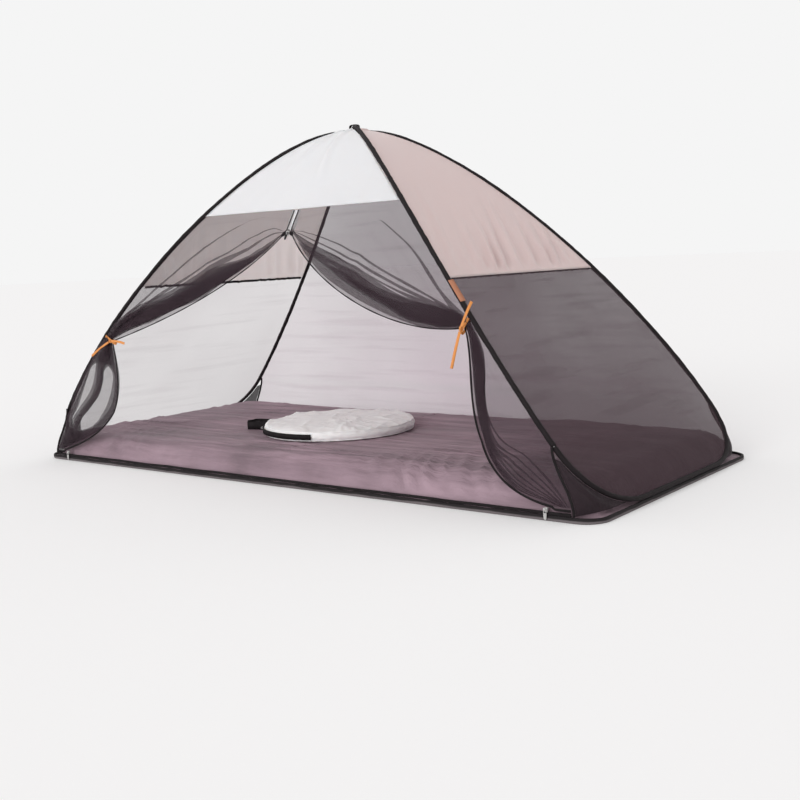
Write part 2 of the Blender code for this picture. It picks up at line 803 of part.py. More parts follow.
def curtain_rows(tie, swag, drop, slider_x):
    """Grid of one tied-back curtain, on the right-hand side."""
    sewn = sewn_edge()
    sewn_tie = nearest_share(sewn, on_front(*tie))
    out = Vector((0, -1, 0.35)).normalized()
    grid = []
    for t in spaced(0, 1, CURTAIN_ROWS):
        share = sewn_tie * t / TIE_SHARE
        if t > TIE_SHARE:
            share = sewn_tie + (1 - sewn_tie) * (t - TIE_SHARE) / (1 - TIE_SHARE)
        start, end = along(sewn, share), free_edge(tie, swag, drop, slider_x, t)
        width = (end - start).length
        depth = fold_depth(t, width)
        share = gathered(width)
        row = []
        for s in spaced(0, 1, CURTAIN_COLUMNS):
            across = (1 - share) * s / GATHER_START
            if s > GATHER_START:
                across = 1 - share * (1 - s) / (1 - GATHER_START)
            envelope = smooth_step(0.1, GATHER_START, s) * (1 - smooth_step(0.9, 1, s))
            wave = math.sin(2 * math.pi * CURTAIN_FOLDS * s)
            row.append(start.lerp(end, across) + out * (depth * envelope * wave))
        grid.append(row)
    return grid


CURTAINS = {
    "left": (-1, LEFT_TIE, LEFT_SWAG, LEFT_DROP, LEFT_SLIDER_X),
    "right": (1, RIGHT_TIE, RIGHT_SWAG, RIGHT_DROP, RIGHT_SLIDER_X),
}


def edge_tape_path(tie, swag, drop, slider_x):
    """Middle of the zip tape along a curtain's open edge."""
    reach = EDGE_TAPE_WIDTH / 2 + CURTAIN_THICKNESS / 2 + CLOTH_CLEARANCE
    edge = [free_edge(tie, swag, drop, slider_x, t) for t in spaced(0, 1, CURTAIN_ROWS)]
    top = sewn_edge()[0]
    path = [Vector((top.x - reach, top.y, top.z - EDGE_TAPE_THICKNESS))]
    for point, way in zip(edge, tangents(edge)):
        side = Vector((-way.z, 0, way.x)) if way.z > 0 else Vector((way.z, 0, -way.x))
        path.append(point + side.normalized() * reach)
    path[1] = Vector((edge[0].x - reach, edge[0].y, edge[0].z))
    level = TAPE_TOP + CLEARANCE + EDGE_TAPE_WIDTH / 2
    path[-1] = Vector((edge[-1].x, -DOOR_Y, level + CLEARANCE))
    path.append(Vector((HALF_LENGTH - HEM_RADIUS - 2 * BINDING_RADIUS, -DOOR_Y, level)))
    return path


def build_curtains():
    """Tied-back door curtains and the zip tapes on their open edges."""
    for name, (sign, *shape) in CURTAINS.items():
        rows = [[quarter(point, (sign, 1)) for point in row] for row in curtain_rows(*shape)]
        sheet(name + "_door_curtain", rows, CURTAIN_THICKNESS, "grey_mesh")
        path = [quarter(point, (sign, 1)) for point in edge_tape_path(*shape)]
        ribbon(name + "_door_zip_tape", path, EDGE_TAPE_WIDTH, EDGE_TAPE_THICKNESS,
               lambda point, way: wall_out(point.z), "black_tape")


# Zips

def build_bottom_tape():
    """Zip half that stays on the hem, with its raised row of teeth."""
    half_tape, half_teeth = TAPE_THICKNESS / 2, TEETH_THICKNESS / 2
    teeth_bottom = TAPE_TOP - TEETH_HEIGHT
    profile = [
        (-half_tape, TAPE_BOTTOM), (half_tape, TAPE_BOTTOM), (half_tape, teeth_bottom),
        (half_teeth, teeth_bottom), (half_teeth, TAPE_TOP), (-half_teeth, TAPE_TOP),
        (-half_teeth, teeth_bottom), (-half_tape, teeth_bottom),
    ]
    reach = HALF_LENGTH - HEM_RADIUS - 2 * BINDING_RADIUS
    rings = [[Vector((x, y - DOOR_Y, z)) for y, z in profile] for x in (-reach, reach)]
    loft("bottom_zip_tape", rings, "black_tape")


def local_frame(place, travel, face):
    """Matrix with X along the zip, Y out of its face."""
    x = travel.normalized()
    y = (face - x * face.dot(x)).normalized()
    z = x.cross(y)
    matrix = Matrix((x, y, z)).transposed().to_4x4()
    matrix.translation = place
    return matrix


def slider_section(face, wide):
    """Corners of a slider's section, two plates and a web, and its end faces."""
    gap, web = SLIDER_GAP / 2, SLIDER_WEB / 2
    return [
        (face, -wide), (gap, -wide), (gap, -web), (-gap, -web), (-gap, -wide), (-face, -wide),
        (-face, wide), (-gap, wide), (-gap, web), (gap, web), (gap, wide), (face, wide),
    ], ((0, 1, 2), (0, 2, 12), (2, 9, 12), (9, 11, 12), (9, 10, 11), (2, 3, 8, 9),
        (3, 4, 5), (3, 5, 6, 8), (6, 7, 8))


def plate_section(face, wide):
    """Corners of a plain plate's section, and its end face."""
    return [(face, -wide), (-face, -wide), (-face, wide), (face, wide)], ((0, 1, 4), (1, 2, 4), (2, 3, 4))


def bail(bm, face, span):
    """Bent bar from one place on a slider's face to another; returns its feet."""
    out = Vector((0, 1, 0))
    normal = span.cross(out)
    upright = BAIL_REACH * BAIL_UPRIGHT
    path = [span * (-BAIL_SPAN / 2) + out * face]
    for angle in spaced(0, math.pi, 6):
        height = face + upright + (BAIL_REACH - upright) * math.sin(angle)
        path.append(span * (-math.cos(angle) * BAIL_SPAN / 2) + out * height)
    path.append(span * (BAIL_SPAN / 2) + out * face)
    rings = []
    for point, way in zip(path, tangents(path)):
        over = way.cross(normal)
        turns = [2 * math.pi * (k + 0.5) / BAIL_SIDES for k in range(BAIL_SIDES)]
        ring = [point + (normal * math.cos(a) + over * math.sin(a)) * BAIL_RADIUS for a in turns]
        rings.append([bm.verts.new(corner) for corner in ring])
    for first, second in zip(rings, rings[1:]):
        for i in range(BAIL_SIDES):
            j = (i + 1) % BAIL_SIDES
            bm.faces.new((first[i], first[j], second[j], second[i]))
    return rings[0], rings[-1]


def slider(name, section, face, matrix, across):
    """Zip slider whose bail spans its front plate, along the zip or across it."""
    bm = bmesh.new()
    rings = []
    for share, narrow in ((-0.5, 1), (0, 1), (0.5, SLIDER_NOSE)):
        corners, pieces = section(face, SLIDER_WIDTH / 2 * narrow)
        rings.append([bm.verts.new((share * SLIDER_LENGTH, y, z)) for y, z in corners])
    for first, second in zip(rings, rings[1:]):
        for i in range(len(first) - 1):
            bm.faces.new((first[i], first[i + 1], second[i + 1], second[i]))
    tail, middle, nose = rings
    ends = [bm.verts.new((end * SLIDER_LENGTH / 2, face, 0)) for end in (-1, 1)]
    for corners in (tail + ends[:1], nose + ends[1:]):
        for piece in pieces:
            bm.faces.new([corners[k] for k in piece])
    if across:
        near, far = bail(bm, face, Vector((0, 0, 1)))
        start, stop = middle[0], middle[-1]
        sides = ((tail[-1], ends[0], tail[0]), (nose[-1], ends[1], nose[0]))
    else:
        near, far = bail(bm, face, Vector((1, 0, 0)))
        start, stop = ends
        sides = ((nose[-1], middle[-1], tail[-1]), (nose[0], middle[0], tail[0]))
    for (after, beside, before), (o, p, q, i) in zip(sides, ((4, 5, 0, 1), (4, 3, 2, 1))):
        bm.faces.new((start, near[o], near[p], before))
        bm.faces.new((near[p], near[q], beside, before))
        bm.faces.new((near[q], near[i], far[i], far[q], beside))
        bm.faces.new((far[q], far[p], after, beside))
        bm.faces.new((far[p], far[o], stop, after))
    bmesh.ops.recalc_face_normals(bm, faces=bm.faces)
    body = mesh_object(name, bm, "steel")
    body.matrix_world = matrix


def pull(name, matrix, surface):
    """Pull tab: a plate with a window, whose top bar lies in the bail."""
    bm = bmesh.new()
    half = PULL_WIDTH / 2
    window = PULL_WIDTH * 0.32
    window_end = PULL_WIDTH * 0.85
    tip = PULL_LENGTH
    outer = [(-half, -PULL_BAR / 2), (half, -PULL_BAR / 2), (half, tip * 0.55), (half * 0.8, tip * 0.9),
             (half * 0.45, tip), (-half * 0.45, tip), (-half * 0.8, tip * 0.9), (-half, tip * 0.55)]
    inner = [(-window, PULL_BAR / 2), (window, PULL_BAR / 2), (window, window_end), (-window, window_end)]
    rims = []
    for level in (-PULL_THICKNESS / 2, PULL_THICKNESS / 2):
        rims.append(([bm.verts.new((x, level, d)) for x, d in outer],
                     [bm.verts.new((x, level, d)) for x, d in inner]))
    for outer_rim, inner_rim in rims:
        a, b = outer_rim, inner_rim
        bm.faces.new((a[0], a[1], b[1], b[0]))
        bm.faces.new((a[1], a[2], b[2], b[1]))
        bm.faces.new((a[2], a[3], a[4], a[5], a[6], a[7], b[3], b[2]))
        bm.faces.new((a[7], a[0], b[0], b[3]))
    for k in (0, 1):
        low, high = rims[0][k], rims[1][k]
        count = len(low)
        for i in range(count):
            j = (i + 1) % count
            bm.faces.new((low[i], low[j], high[j], high[i]))
    bmesh.ops.recalc_face_normals(bm, faces=bm.faces)
    body = mesh_object(name, bm, surface)
    body.matrix_world = matrix


def pull_place():
    """Hinge of a pull, from the middle of its slider."""
    return SLIDER_DEPTH / 2 + BAIL_REACH / 2 - CLEARANCE


def build_sliders():
    """Two bottom sliders, the top slider and their pulls."""
    stand_off = pull_place()
    face = Vector((0, -1, 0))
    for name, x in (("left", LEFT_SLIDER_X), ("right", RIGHT_SLIDER_X)):
        travel = Vector((-math.copysign(1, x), 0, 0))
        place = Vector((x, -DOOR_Y, SLIDER_Z))
        frame = local_frame(place, travel, face)
        slider(name + "_zip_slider", slider_section, SLIDER_DEPTH / 2, frame, True)
        hang = local_frame(place + face * stand_off, Vector((1, 0, 0)), face)
        pull(name + "_zip_pull", hang, "steel")
    build_top_slider(stand_off)


def build_top_slider(stand_off):
    """Slider that closes the door downwards, its pull and the stop above it."""
    top = on_front(0, TOP_SLIDER_HEIGHT - SLIDER_LENGTH / 2)
    face = wall_out(top.z)
    travel = Vector((0, face.z, -face.y))
    if travel.z > 0:
        travel = -travel
    slider("top_zip_slider", slider_section, SLIDER_DEPTH / 2, local_frame(top, travel, face), False)
    hang = local_frame(top + face * stand_off, Vector((1, 0, 0)), face)
    pull("top_zip_pull", hang, "black_metal")
    centre = top - travel * (SLIDER_LENGTH / 2 + CLEARANCE + STOP_HEIGHT / 2)
    bm = bmesh.new()
    reach = CENTRE_SLIT - EDGE_TAPE_WIDTH - CURTAIN_THICKNESS / 2 - CLOTH_CLEARANCE
    box(bm, (STOP_HEIGHT, TEETH_THICKNESS, 2 * (reach - CLEARANCE)), Vector((0, 0, 0)))
    stop = mesh_object("zip_top_stop", bm, "black_tape")
    stop.matrix_world = local_frame(centre, travel, face)


# Ribbons

def arch_across(place, way):
    """Share of the arch's curve that lies square across from a place."""
    low, high = T_FRONT, T_SPLIT
    while high - low > 1e-7:
        middle = (low + high) / 2
        if (arch(middle) - place).dot(way) < 0:
            low = middle
        else:
            high = middle
    return low


def ribbon_tie(name, sign, tie, swag, drop, tails):
    """Ribbon from the arch round the gathered curtain, its knot and its tails."""
    flat = Vector((tie[0], 0, tie[1]))
    down_swag = (flat - Vector((swag[1][0], 0, swag[1][1]))).normalized()
    down_drop = (Vector((drop[0][0], 0, drop[0][1])) - flat).normalized()
    half_turn = math.acos(-down_swag.dot(down_drop)) / 2
    t = arch_across(flat, (down_swag + down_drop).normalized())
    signs = (sign, -1)
    sleeve = quarter(arch(t), signs)
    sleeve_way = quarter(arch(t + 0.002) - arch(t - 0.002), signs).normalized()
    across = quarter(on_front(*tie), (sign, 1)) - sleeve
    tape = EDGE_TAPE_WIDTH + CURTAIN_THICKNESS / 2 + CLOTH_CLEARANCE
    past = tape / math.sin(half_turn) + RIBBON_WIDTH / 2 / math.tan(half_turn)
    far = across.length + past + RIBBON_SLACK
    across.normalize()
    out = wall_out(tie[1])
    out = (out - across * out.dot(across)).normalized()
    way = across.cross(out)
    if way.dot(sleeve_way) < 0:
        way = -way
    depth = TIE_FOLD_DEPTH + CURTAIN_THICKNESS + RIBBON_THICKNESS
    seat = SLEEVE_RADIUS + RIBBON_SEAT + RIBBON_THICKNESS / 2
    near, lift = seat * math.cos(RIBBON_LIFT), seat * math.sin(RIBBON_LIFT)
    path = [sleeve + across * near + out * lift]
    for angle in spaced(math.pi / 2, -math.pi / 2, 12):
        reach = (near + far) / 2 + (far - near) / 2 * abs(math.cos(angle)) ** 0.6
        path.append(sleeve + across * reach + out * (depth * math.sin(angle)))
    path.append(sleeve + across * near - out * lift)

    def facing(point, direction):
        share = smooth_step(near, 3 * near, (point - sleeve).dot(across))
        return direction.cross(sleeve_way.lerp(way, share))

    ribbon(name + "_tie_loop", path, RIBBON_WIDTH, RIBBON_THICKNESS, facing, "orange_ribbon")
    knot_at = path[2] + out * (RIBBON_THICKNESS / 2 + CLEARANCE + KNOT_RADIUS)
    bm = bmesh.new()
    bmesh.ops.create_icosphere(bm, subdivisions=2, radius=KNOT_RADIUS)
    knot = mesh_object(name + "_tie_knot", bm, "orange_ribbon", smooth=60)
    knot.matrix_world = Matrix.Translation(knot_at)
    for label, (dx, dz) in tails.items():
        along_tail = Vector((dx, -0.15, dz)).normalized()
        path = []
        for k in spaced(0, 1, 6):
            point = knot_at + along_tail * (KNOT_RADIUS + CLEARANCE + TAIL_LENGTH * k)
            path.append(point - UP * (TAIL_DROOP * k * k))
        ribbon(name + "_tie_" + label, path, RIBBON_WIDTH, RIBBON_THICKNESS,
               lambda point, direction: Vector((0, -1, 0.2)), "orange_ribbon")


def build_ribbons():
    """Ties on both arches and the bare tab sewn into the right one."""
    outer_tails = {"tail_outer": (-0.7, -0.6), "tail_inner": (0.95, -0.15)}
    upper_tails = {"tail_upper": (0.35, 0.9), "tail_lower": (-0.3, -0.9)}
    ribbon_tie("left", -1, LEFT_TIE, LEFT_SWAG, LEFT_DROP, outer_tails)
    ribbon_tie("right", 1, RIGHT_TIE, RIGHT_SWAG, RIGHT_DROP, upper_tails)
    path = []
    for height in spaced(TAB_TOP, TAB_BOTTOM, 4):
        t = arch_at(height)
        point = quarter(arch(t), (1, -1))
        way = quarter((arch(t + 0.002) - arch(t - 0.002)).normalized(), (1, -1))
        normal = outward(point, way)
        path.append(point + normal * (SLEEVE_RADIUS + CLEARANCE + RIBBON_THICKNESS / 2))
    ribbon("arch_tab", path, TAB_WIDTH, RIBBON_THICKNESS, outward, "orange_ribbon")


# Carry bag

def bag_rings(rings, closed):
    """Faces between rings of points about the bag's axis."""
    bm = bmesh.new()
    loops = []
    for radius, height in rings:
        turns = [2 * math.pi * k / BAG_SIDES for k in range(BAG_SIDES)]
        loops.append([bm.verts.new((radius * math.cos(a), radius * math.sin(a), height)) for a in turns])
    pairs = list(zip(loops, loops[1:]))
    if closed:
        pairs.append((loops[-1], loops[0]))
    for first, second in pairs:
        for k in range(BAG_SIDES):
            j = (k + 1) % BAG_SIDES
            bm.faces.new((first[k], first[j], second[j], second[k]))
    return bm, loops


def bag_piece(name, bm):
    """Cloth piece of the bag, in its place on the floor."""
    bmesh.ops.recalc_face_normals(bm, faces=bm.faces)
    obj = mesh_object(name, bm, "bag_cloth", smooth=50)
    obj.location = (BAG_X, BAG_Y, BAG_BOTTOM)
    return obj


def crowned_disc(name, base, crown):
    """Round panel of the bag, its middle raised by the crown."""
    reach = BAG_RADIUS - BAG_EDGE_ROUND
    shares = (1.0, 0.85, 0.6, 0.3)
    bm, loops = bag_rings([(reach * share, base + crown * (1 - share ** 3)) for share in shares], False)
    bm.faces.new(loops[-1])
    solidify(bag_piece(name, bm), BAG_PANEL, 0)


def build_bag():
    """Round carry bag on the floor, with its zip and its webbing strap."""
    low = BAG_PANEL + CLEARANCE
    crowned_disc("bag_bottom_panel", BAG_PANEL / 2, 0)
    outer, inner = [], []
    for share in spaced(0, 1, 6):
        bulge = min(math.sin(math.pi * share) * 1.15, 1)
        radius = BAG_RADIUS - BAG_EDGE_ROUND * (1 - bulge)
        outer.append((radius, low + BAG_GUSSET * share))
        inner.append((radius - BAG_PANEL, low + BAG_GUSSET * share))
    bm, loops = bag_rings(outer + list(reversed(inner)), True)
    bag_piece("bag_gusset", bm)
    crowned_disc("bag_top_panel", low + BAG_GUSSET + CLEARANCE + BAG_PANEL * 0.75, BAG_CROWN)
    build_bag_zip(low + BAG_GUSSET / 2)
    build_bag_strap()


def bag_point(angle, radius, height):
    """Point round the bag's axis."""
    return Vector((BAG_X + radius * math.cos(angle), BAG_Y + radius * math.sin(angle), BAG_BOTTOM + height))


def build_bag_zip(height):
    """Black zip on the gusset, with a slider that runs round it."""
    side = 2 * math.pi / BAG_SIDES
    radius = (BAG_RADIUS + CLEARANCE + TAPE_THICKNESS / 2) / math.cos(side / 4)
    turns = spaced(side * BAG_ZIP_FIRST_SIDE, side * (BAG_ZIP_FIRST_SIDE + BAG_ZIP_SIDES), 2 * BAG_ZIP_SIDES)
    path = [bag_point(angle, radius, height) for angle in turns]
    axis = Vector((BAG_X, BAG_Y, 0))
    ribbon("bag_zip_tape", path, BAG_TAPE_WIDTH, TAPE_THICKNESS,
           lambda point, way: Vector((point.x, point.y, 0)) - axis, "black_tape")
    angle = side * (BAG_ZIP_FIRST_SIDE + 0.5)
    face = Vector((math.cos(angle), math.sin(angle), 0))
    travel = Vector((-math.sin(angle), math.cos(angle), 0))
    plate_at = radius + TAPE_THICKNESS / 2 + CLEARANCE + SLIDER_PLATE
    frame = local_frame(bag_point(angle, plate_at, height), travel, face)
    slider("bag_zip_slider", plate_section, SLIDER_PLATE, frame, False)
    hinge = bag_point(angle, plate_at + SLIDER_PLATE + BAIL_REACH / 2 - CLEARANCE, height)
    pull("bag_zip_pull", local_frame(hinge, UP, face), "steel")


def build_bag_strap():
    """Webbing loop folded flat beside the bag."""
    half = BAG_STRAP_WIDTH / 2 + CLEARANCE
    base = BAG_RADIUS + BAG_STRAP_THICKNESS / 2 + CLEARANCE
    path = []
    count = 16
    for i in range(count + 1):
        share = i / count
        turn = 2 * share - 1
        angle = BAG_STRAP_ANGLE + BAG_STRAP_SPREAD * turn * (1.2 - 0.5 * turn * turn)
        reach = base + BAG_STRAP_REACH * math.sqrt(max(0, 1 - turn ** 4))
        path.append(bag_point(angle, reach, half))
    ribbon("bag_strap", path, BAG_STRAP_WIDTH, BAG_STRAP_THICKNESS,
           lambda point, way: way.cross(UP), "black_tape")


def main():
    """Build the whole tent."""
    for obj in list(bpy.data.objects):
        bpy.data.objects.remove(obj, do_unlink=True)
    build_frame()
    build_apex_band()
    build_walls()
    build_seam_bindings()
    build_corners()
    build_base()
    build_curtains()
    build_bottom_tape()
    build_sliders()
    build_ribbons()
    build_bag()
    stand_out = DOOR_Y + SLIDER_DEPTH / 2 + BAIL_REACH + BAIL_RADIUS - HALF_WIDTH
    for obj in bpy.data.objects:
        obj.location.y += stand_out / 2


main()
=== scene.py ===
"""Looks of the pop-up bed tent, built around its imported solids.

Metres, +Z up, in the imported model's frame. Each cloth piece stands for the plain
solid of the same name and follows the same curves at a finer grain.
"""
import math

import bpy
from mathutils import Matrix, Vector, noise


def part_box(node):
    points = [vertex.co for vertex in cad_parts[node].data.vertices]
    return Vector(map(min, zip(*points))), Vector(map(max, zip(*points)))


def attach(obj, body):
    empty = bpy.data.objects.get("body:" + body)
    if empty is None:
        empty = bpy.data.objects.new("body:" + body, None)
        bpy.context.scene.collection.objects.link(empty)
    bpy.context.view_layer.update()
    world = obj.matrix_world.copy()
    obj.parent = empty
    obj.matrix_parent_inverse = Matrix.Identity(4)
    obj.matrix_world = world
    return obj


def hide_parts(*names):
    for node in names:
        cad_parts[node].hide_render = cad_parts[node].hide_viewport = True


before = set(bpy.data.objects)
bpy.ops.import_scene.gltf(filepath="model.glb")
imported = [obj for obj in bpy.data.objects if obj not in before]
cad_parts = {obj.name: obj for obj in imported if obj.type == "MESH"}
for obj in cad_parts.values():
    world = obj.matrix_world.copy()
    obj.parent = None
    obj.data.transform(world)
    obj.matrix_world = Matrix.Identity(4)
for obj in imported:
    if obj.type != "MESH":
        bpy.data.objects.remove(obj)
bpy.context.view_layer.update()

# Sizes and places of the tent and its bag, as in the part's source. Only the ribbons' tails are
# longer here, as the photograph shows them
HALF_LENGTH = 0.985
HALF_WIDTH = 0.442
APEX_HEIGHT = 0.953
HEM_RADIUS = 0.060
APEX_HANDLE = 0.310
APEX_TURN = math.radians(45)
FOOT_INSET = 0.051
FOOT_RUN = 0.245
FOOT_BOW = 0.124
FOOT_RISE = 0.364
SPLIT_HEIGHT = 0.162
CORNER_HANDLE = 0.090
END_HANDLE = 0.150
END_STRAIGHT = 0.200
CROSSING_REACH = 0.150
SPLIT_GAP = 0.0012
SLEEVE_RADIUS = 0.0060
BINDING_RADIUS = 0.0030
PANEL_THICKNESS = 0.0010
CURTAIN_THICKNESS = 0.0012
FLOOR_THICKNESS = 0.0020
WALL_SAG = 0.012
FRONT_SEAM = 0.727
SIDE_SEAM = 0.532
BACK_SEAM = 0.772
GUSSET_REACH = 0.80
GUSSET_CLEARANCE = 0.0009
HEM_WIDTH = 0.008
HEM_HEIGHT = 0.014
FLOOR_TOP = 0.082
FLOOR_EDGE_ROUND = 0.070
FLOOR_LEDGE_LONG = 0.014
FLOOR_LEDGE_END = 0.032
SAG_FADE = 0.250
TAPE_HEIGHT = 0.0095
TEETH_THICKNESS = 0.0026
EDGE_TAPE_WIDTH = 0.0060
EDGE_TAPE_THICKNESS = 0.0016
LEFT_SLIDER_X = -0.863
RIGHT_SLIDER_X = 0.857
TOP_SLIDER_HEIGHT = 0.669
CENTRE_SLIT = 0.010
DOOR_FOOT = 0.045
SLIDER_LENGTH = 0.011
SLIDER_ROOM = 0.017
LEFT_TIE = (0.655, 0.376)
LEFT_SWAG = ((0.130, 0.532), (0.420, 0.437))
LEFT_DROP = ((0.610, 0.270), (0.560, 0.120))
RIGHT_TIE = (0.628, 0.420)
RIGHT_SWAG = ((0.120, 0.542), (0.400, 0.392))
RIGHT_DROP = ((0.690, 0.300), (0.600, 0.072))
TIE_SHARE = 0.6
TIE_FOLD_DEPTH = 0.004
RIBBON_WIDTH = 0.007
RIBBON_SLACK = 0.0080
RIBBON_SEAT = 0.0008
RIBBON_LIFT = math.radians(50)
RIBBON_THICKNESS = 0.0010
KNOT_RADIUS = 0.0065
TAIL_LENGTH = 0.078
TAIL_DROOP = 0.010
TAB_TOP = 0.523
TAB_BOTTOM = 0.474
TAB_WIDTH = 0.014
BAG_X = -0.092
BAG_Y = -0.026
BAG_RADIUS = 0.228
BAG_GUSSET = 0.024
BAG_CROWN = 0.009
BAG_PANEL = 0.0020
BAG_TAPE_WIDTH = 0.016
BAG_SIDE = math.radians(10)
BAG_ZIP_FIRST_SIDE = 21
BAG_ZIP_SIDES = 8
BAG_STRAP_ANGLE = math.radians(196)
BAG_STRAP_REACH = 0.060
BAG_STRAP_SPREAD = math.radians(9)
BAG_STRAP_WIDTH = 0.024
BAG_STRAP_THICKNESS = 0.0018
TAPE_THICKNESS = 0.0014
TEETH_HEIGHT = 0.0025
CLEARANCE = 0.0003
CLOTH_CLEARANCE = 0.0005

HEM_X = HALF_LENGTH - HEM_WIDTH / 2
HEM_Y = HALF_WIDTH - HEM_WIDTH / 2
WIRE_Z = HEM_HEIGHT + CLEARANCE + SLEEVE_RADIUS
CROSSING_LIFT = SLEEVE_RADIUS + CLEARANCE / 2
TAPE_BOTTOM = HEM_HEIGHT + CLEARANCE
TAPE_TOP = TAPE_BOTTOM + TAPE_HEIGHT
DOOR_Y = HALF_WIDTH - TEETH_THICKNESS / 2 - CLEARANCE
UP = Vector((0, 0, 1))
QUARTERS = {
    "front_left": (-1, -1),
    "front_right": (1, -1),
    "back_left": (-1, 1),
    "back_right": (1, 1),
}

# The part stands centred in its box, so everything lies this far towards the back
HEM_LOW, HEM_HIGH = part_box("base_hem")
SHIFT = Vector((0, (HEM_LOW.y + HEM_HIGH.y) / 2, 0))

# Camera of the photograph, with yaw to the left, pitch down and roll
CAMERA_PLACE = (2.06968, -2.47923, 0.58442)
CAMERA_YAW = math.radians(38.14353)
CAMERA_PITCH = math.radians(7.35415)
CAMERA_ROLL = math.radians(-2.59973)
CAMERA_LENS = 49.6118
CAMERA_SENSOR = 36.0

# Light, background and ground
WORLD_COLOUR = (1.0, 0.985, 0.985)
WORLD_STRENGTH = 0.745
BACKGROUND = 0.913
GROUND_COLOUR = 0.882
GROUND_REACH = 60.0
GROUND_LIFT = 0.108
GROUND_GAP = 0.0002
# Each lamp: name, direction of its light, strength and how wide it looks in degrees
LAMPS = (
    ("key", (0.02, 0.96, -0.27), 1.34, 40),
    ("fill", (0.8, 0.3, -0.5), 0.25, 80),
)

# Thickness of the cloth pieces, and the grain of the finer ones
PANEL_SHELL = 0.0006
FLOOR_SHELL = 0.0008
SLEEVE_SIDES = 16
SLEEVE_STEP = 0.005
SEAM_TAPE_WIDTH = 0.009
SEAM_TAPE_THICKNESS = 0.0011
COIL_PITCH = 0.0030
COIL_RADIUS = 0.0008


# Curves

def bezier(p0, p1, p2, p3, t):
    """Point of a cubic curve."""
    a, b, c, d = (1 - t) ** 3, 3 * t * (1 - t) ** 2, 3 * t * t * (1 - t), t ** 3
    return Vector(p0) * a + Vector(p1) * b + Vector(p2) * c + Vector(p3) * d


def smooth_step(low, high, value):
    """Rise from 0 to 1 between low and high."""
    share = min(max((value - low) / (high - low), 0), 1)
    return share * share * (3 - 2 * share)


def spaced(start, end, count):
    """Evenly spaced values, both ends included."""
    return [start + (end - start) * i / count for i in range(count + 1)]


def tangents(path, closed=False):
    """Unit direction at each point of a path."""
    count = len(path)
    made = []
    for i in range(count):
        before = path[i - 1] if (i or closed) else path[0]
        after = path[(i + 1) % count] if (i < count - 1 or closed) else path[-1]
        made.append((after - before).normalized())
    return made


def lengths_along(path):
    """Distance from the first point at each point of a path."""
    made = [0.0]
    for a, b in zip(path, path[1:]):
        made.append(made[-1] + (b - a).length)
    return made


def along(path, share, marks=None):
    """Point at a share of a path's length."""
    marks = marks or lengths_along(path)
    target = share * marks[-1]
    for i in range(1, len(path)):
        if target <= marks[i]:
            step = max(marks[i] - marks[i - 1], 1e-9)
            return path[i - 1].lerp(path[i], (target - marks[i - 1]) / step)
    return path[-1].copy()


def resampled(path, step):
    """The same route with points one step apart."""
    marks = lengths_along(path)
    count = max(2, round(marks[-1] / step))
    return [along(path, share, marks) for share in spaced(0, 1, count)]


def arch(t):
    """Centreline of one quarter of the frame, from the apex down."""
    foot = Vector((HALF_LENGTH + CLEARANCE, HALF_WIDTH - FOOT_INSET, 0))
    top = Vector((0, 0, APEX_HEIGHT))
    lean = Vector((math.cos(APEX_TURN), math.sin(APEX_TURN), 0)) * APEX_HANDLE
    return bezier(top, top + lean, foot + Vector((-FOOT_RUN, FOOT_BOW, FOOT_RISE)), foot, t)


def found(is_before, low=0.0, high=1.0):
    """Share of a curve up to which a test holds, between two shares."""
    while high - low > 1e-7:
        middle = (low + high) / 2
        if is_before(middle):
            low = middle
        else:
            high = middle
    return low


def arch_at(height):
    """Share of the arch's curve at which it has come down to a height."""
    return found(lambda t: arch(t).z > height)


T_BACK = arch_at(BACK_SEAM)
T_FRONT = arch_at(FRONT_SEAM)
T_SIDE = arch_at(SIDE_SEAM)
T_SPLIT = arch_at(SPLIT_HEIGHT)
SPLIT = arch(T_SPLIT)
SPLIT_DIRECTION = (arch(T_SPLIT + 0.001) - arch(T_SPLIT - 0.001)).normalized()


def corner_turn(u):
    """Wire below the split, where it turns along the end of the tent."""
    end = Vector((HEM_X, END_STRAIGHT, WIRE_Z))
    start_handle = SPLIT + SPLIT_DIRECTION * CORNER_HANDLE
    return bezier(SPLIT, start_handle, end + Vector((0, END_HANDLE, 0)), end, u)


def corner_seam(u):
    """Seam from the split to the hem's corner, beside the sleeve."""
    side = (Vector((0, 1, 0)) - SPLIT_DIRECTION * SPLIT_DIRECTION.y).normalized()
    start = SPLIT + side * (SLEEVE_RADIUS + BINDING_RADIUS + CLEARANCE)
    end = Vector((HALF_LENGTH - HEM_RADIUS, HEM_Y, HEM_HEIGHT + 3 * CLEARANCE))
    drop = (start.z - end.z) / 3
    return bezier(start, start - UP * drop, end + UP * drop, end, u)


def quarter(point, signs):
    """Move a point to the named quarter."""
    return Vector((point.x * signs[0], point.y * signs[1], point.z))


def crossing(point, lift):
    """Raise or lower a wire near the apex, where the arches cross."""
    reach = math.hypot(point.x, point.y)
    if reach < CROSSING_REACH:
        share = math.cos(math.pi * reach / (2 * CROSSING_REACH)) ** 2
        point = point + UP * (lift * share)
    return point


def arch_way(t):
    """Direction of the arch at a share of its curve."""
    return (arch(min(t + 0.002, 1)) - arch(max(t - 0.002, 0))).normalized()


def arch_edge(t, is_long):
    """Edge of a long or an end wall beside the arch, in the first quarter."""
    way = arch_way(t)
    share = way.x if is_long else way.y
    step = (SLEEVE_RADIUS + PANEL_THICKNESS / 2 + CLOTH_CLEARANCE) / math.sqrt(1 - share * share)
    return arch(t) - (Vector((step, 0, 0)) if is_long else Vector((0, step, 0)))


def seam_edge(u):
    """Edge of a long wall beside the corner seam."""
    reach = BINDING_RADIUS + PANEL_THICKNESS / 2 + CLOTH_CLEARANCE
    point = corner_seam(u) - Vector((reach, 0, 0))
    point.z = max(point.z, HEM_HEIGHT + PANEL_THICKNESS / 2 + CLEARANCE)
    return point


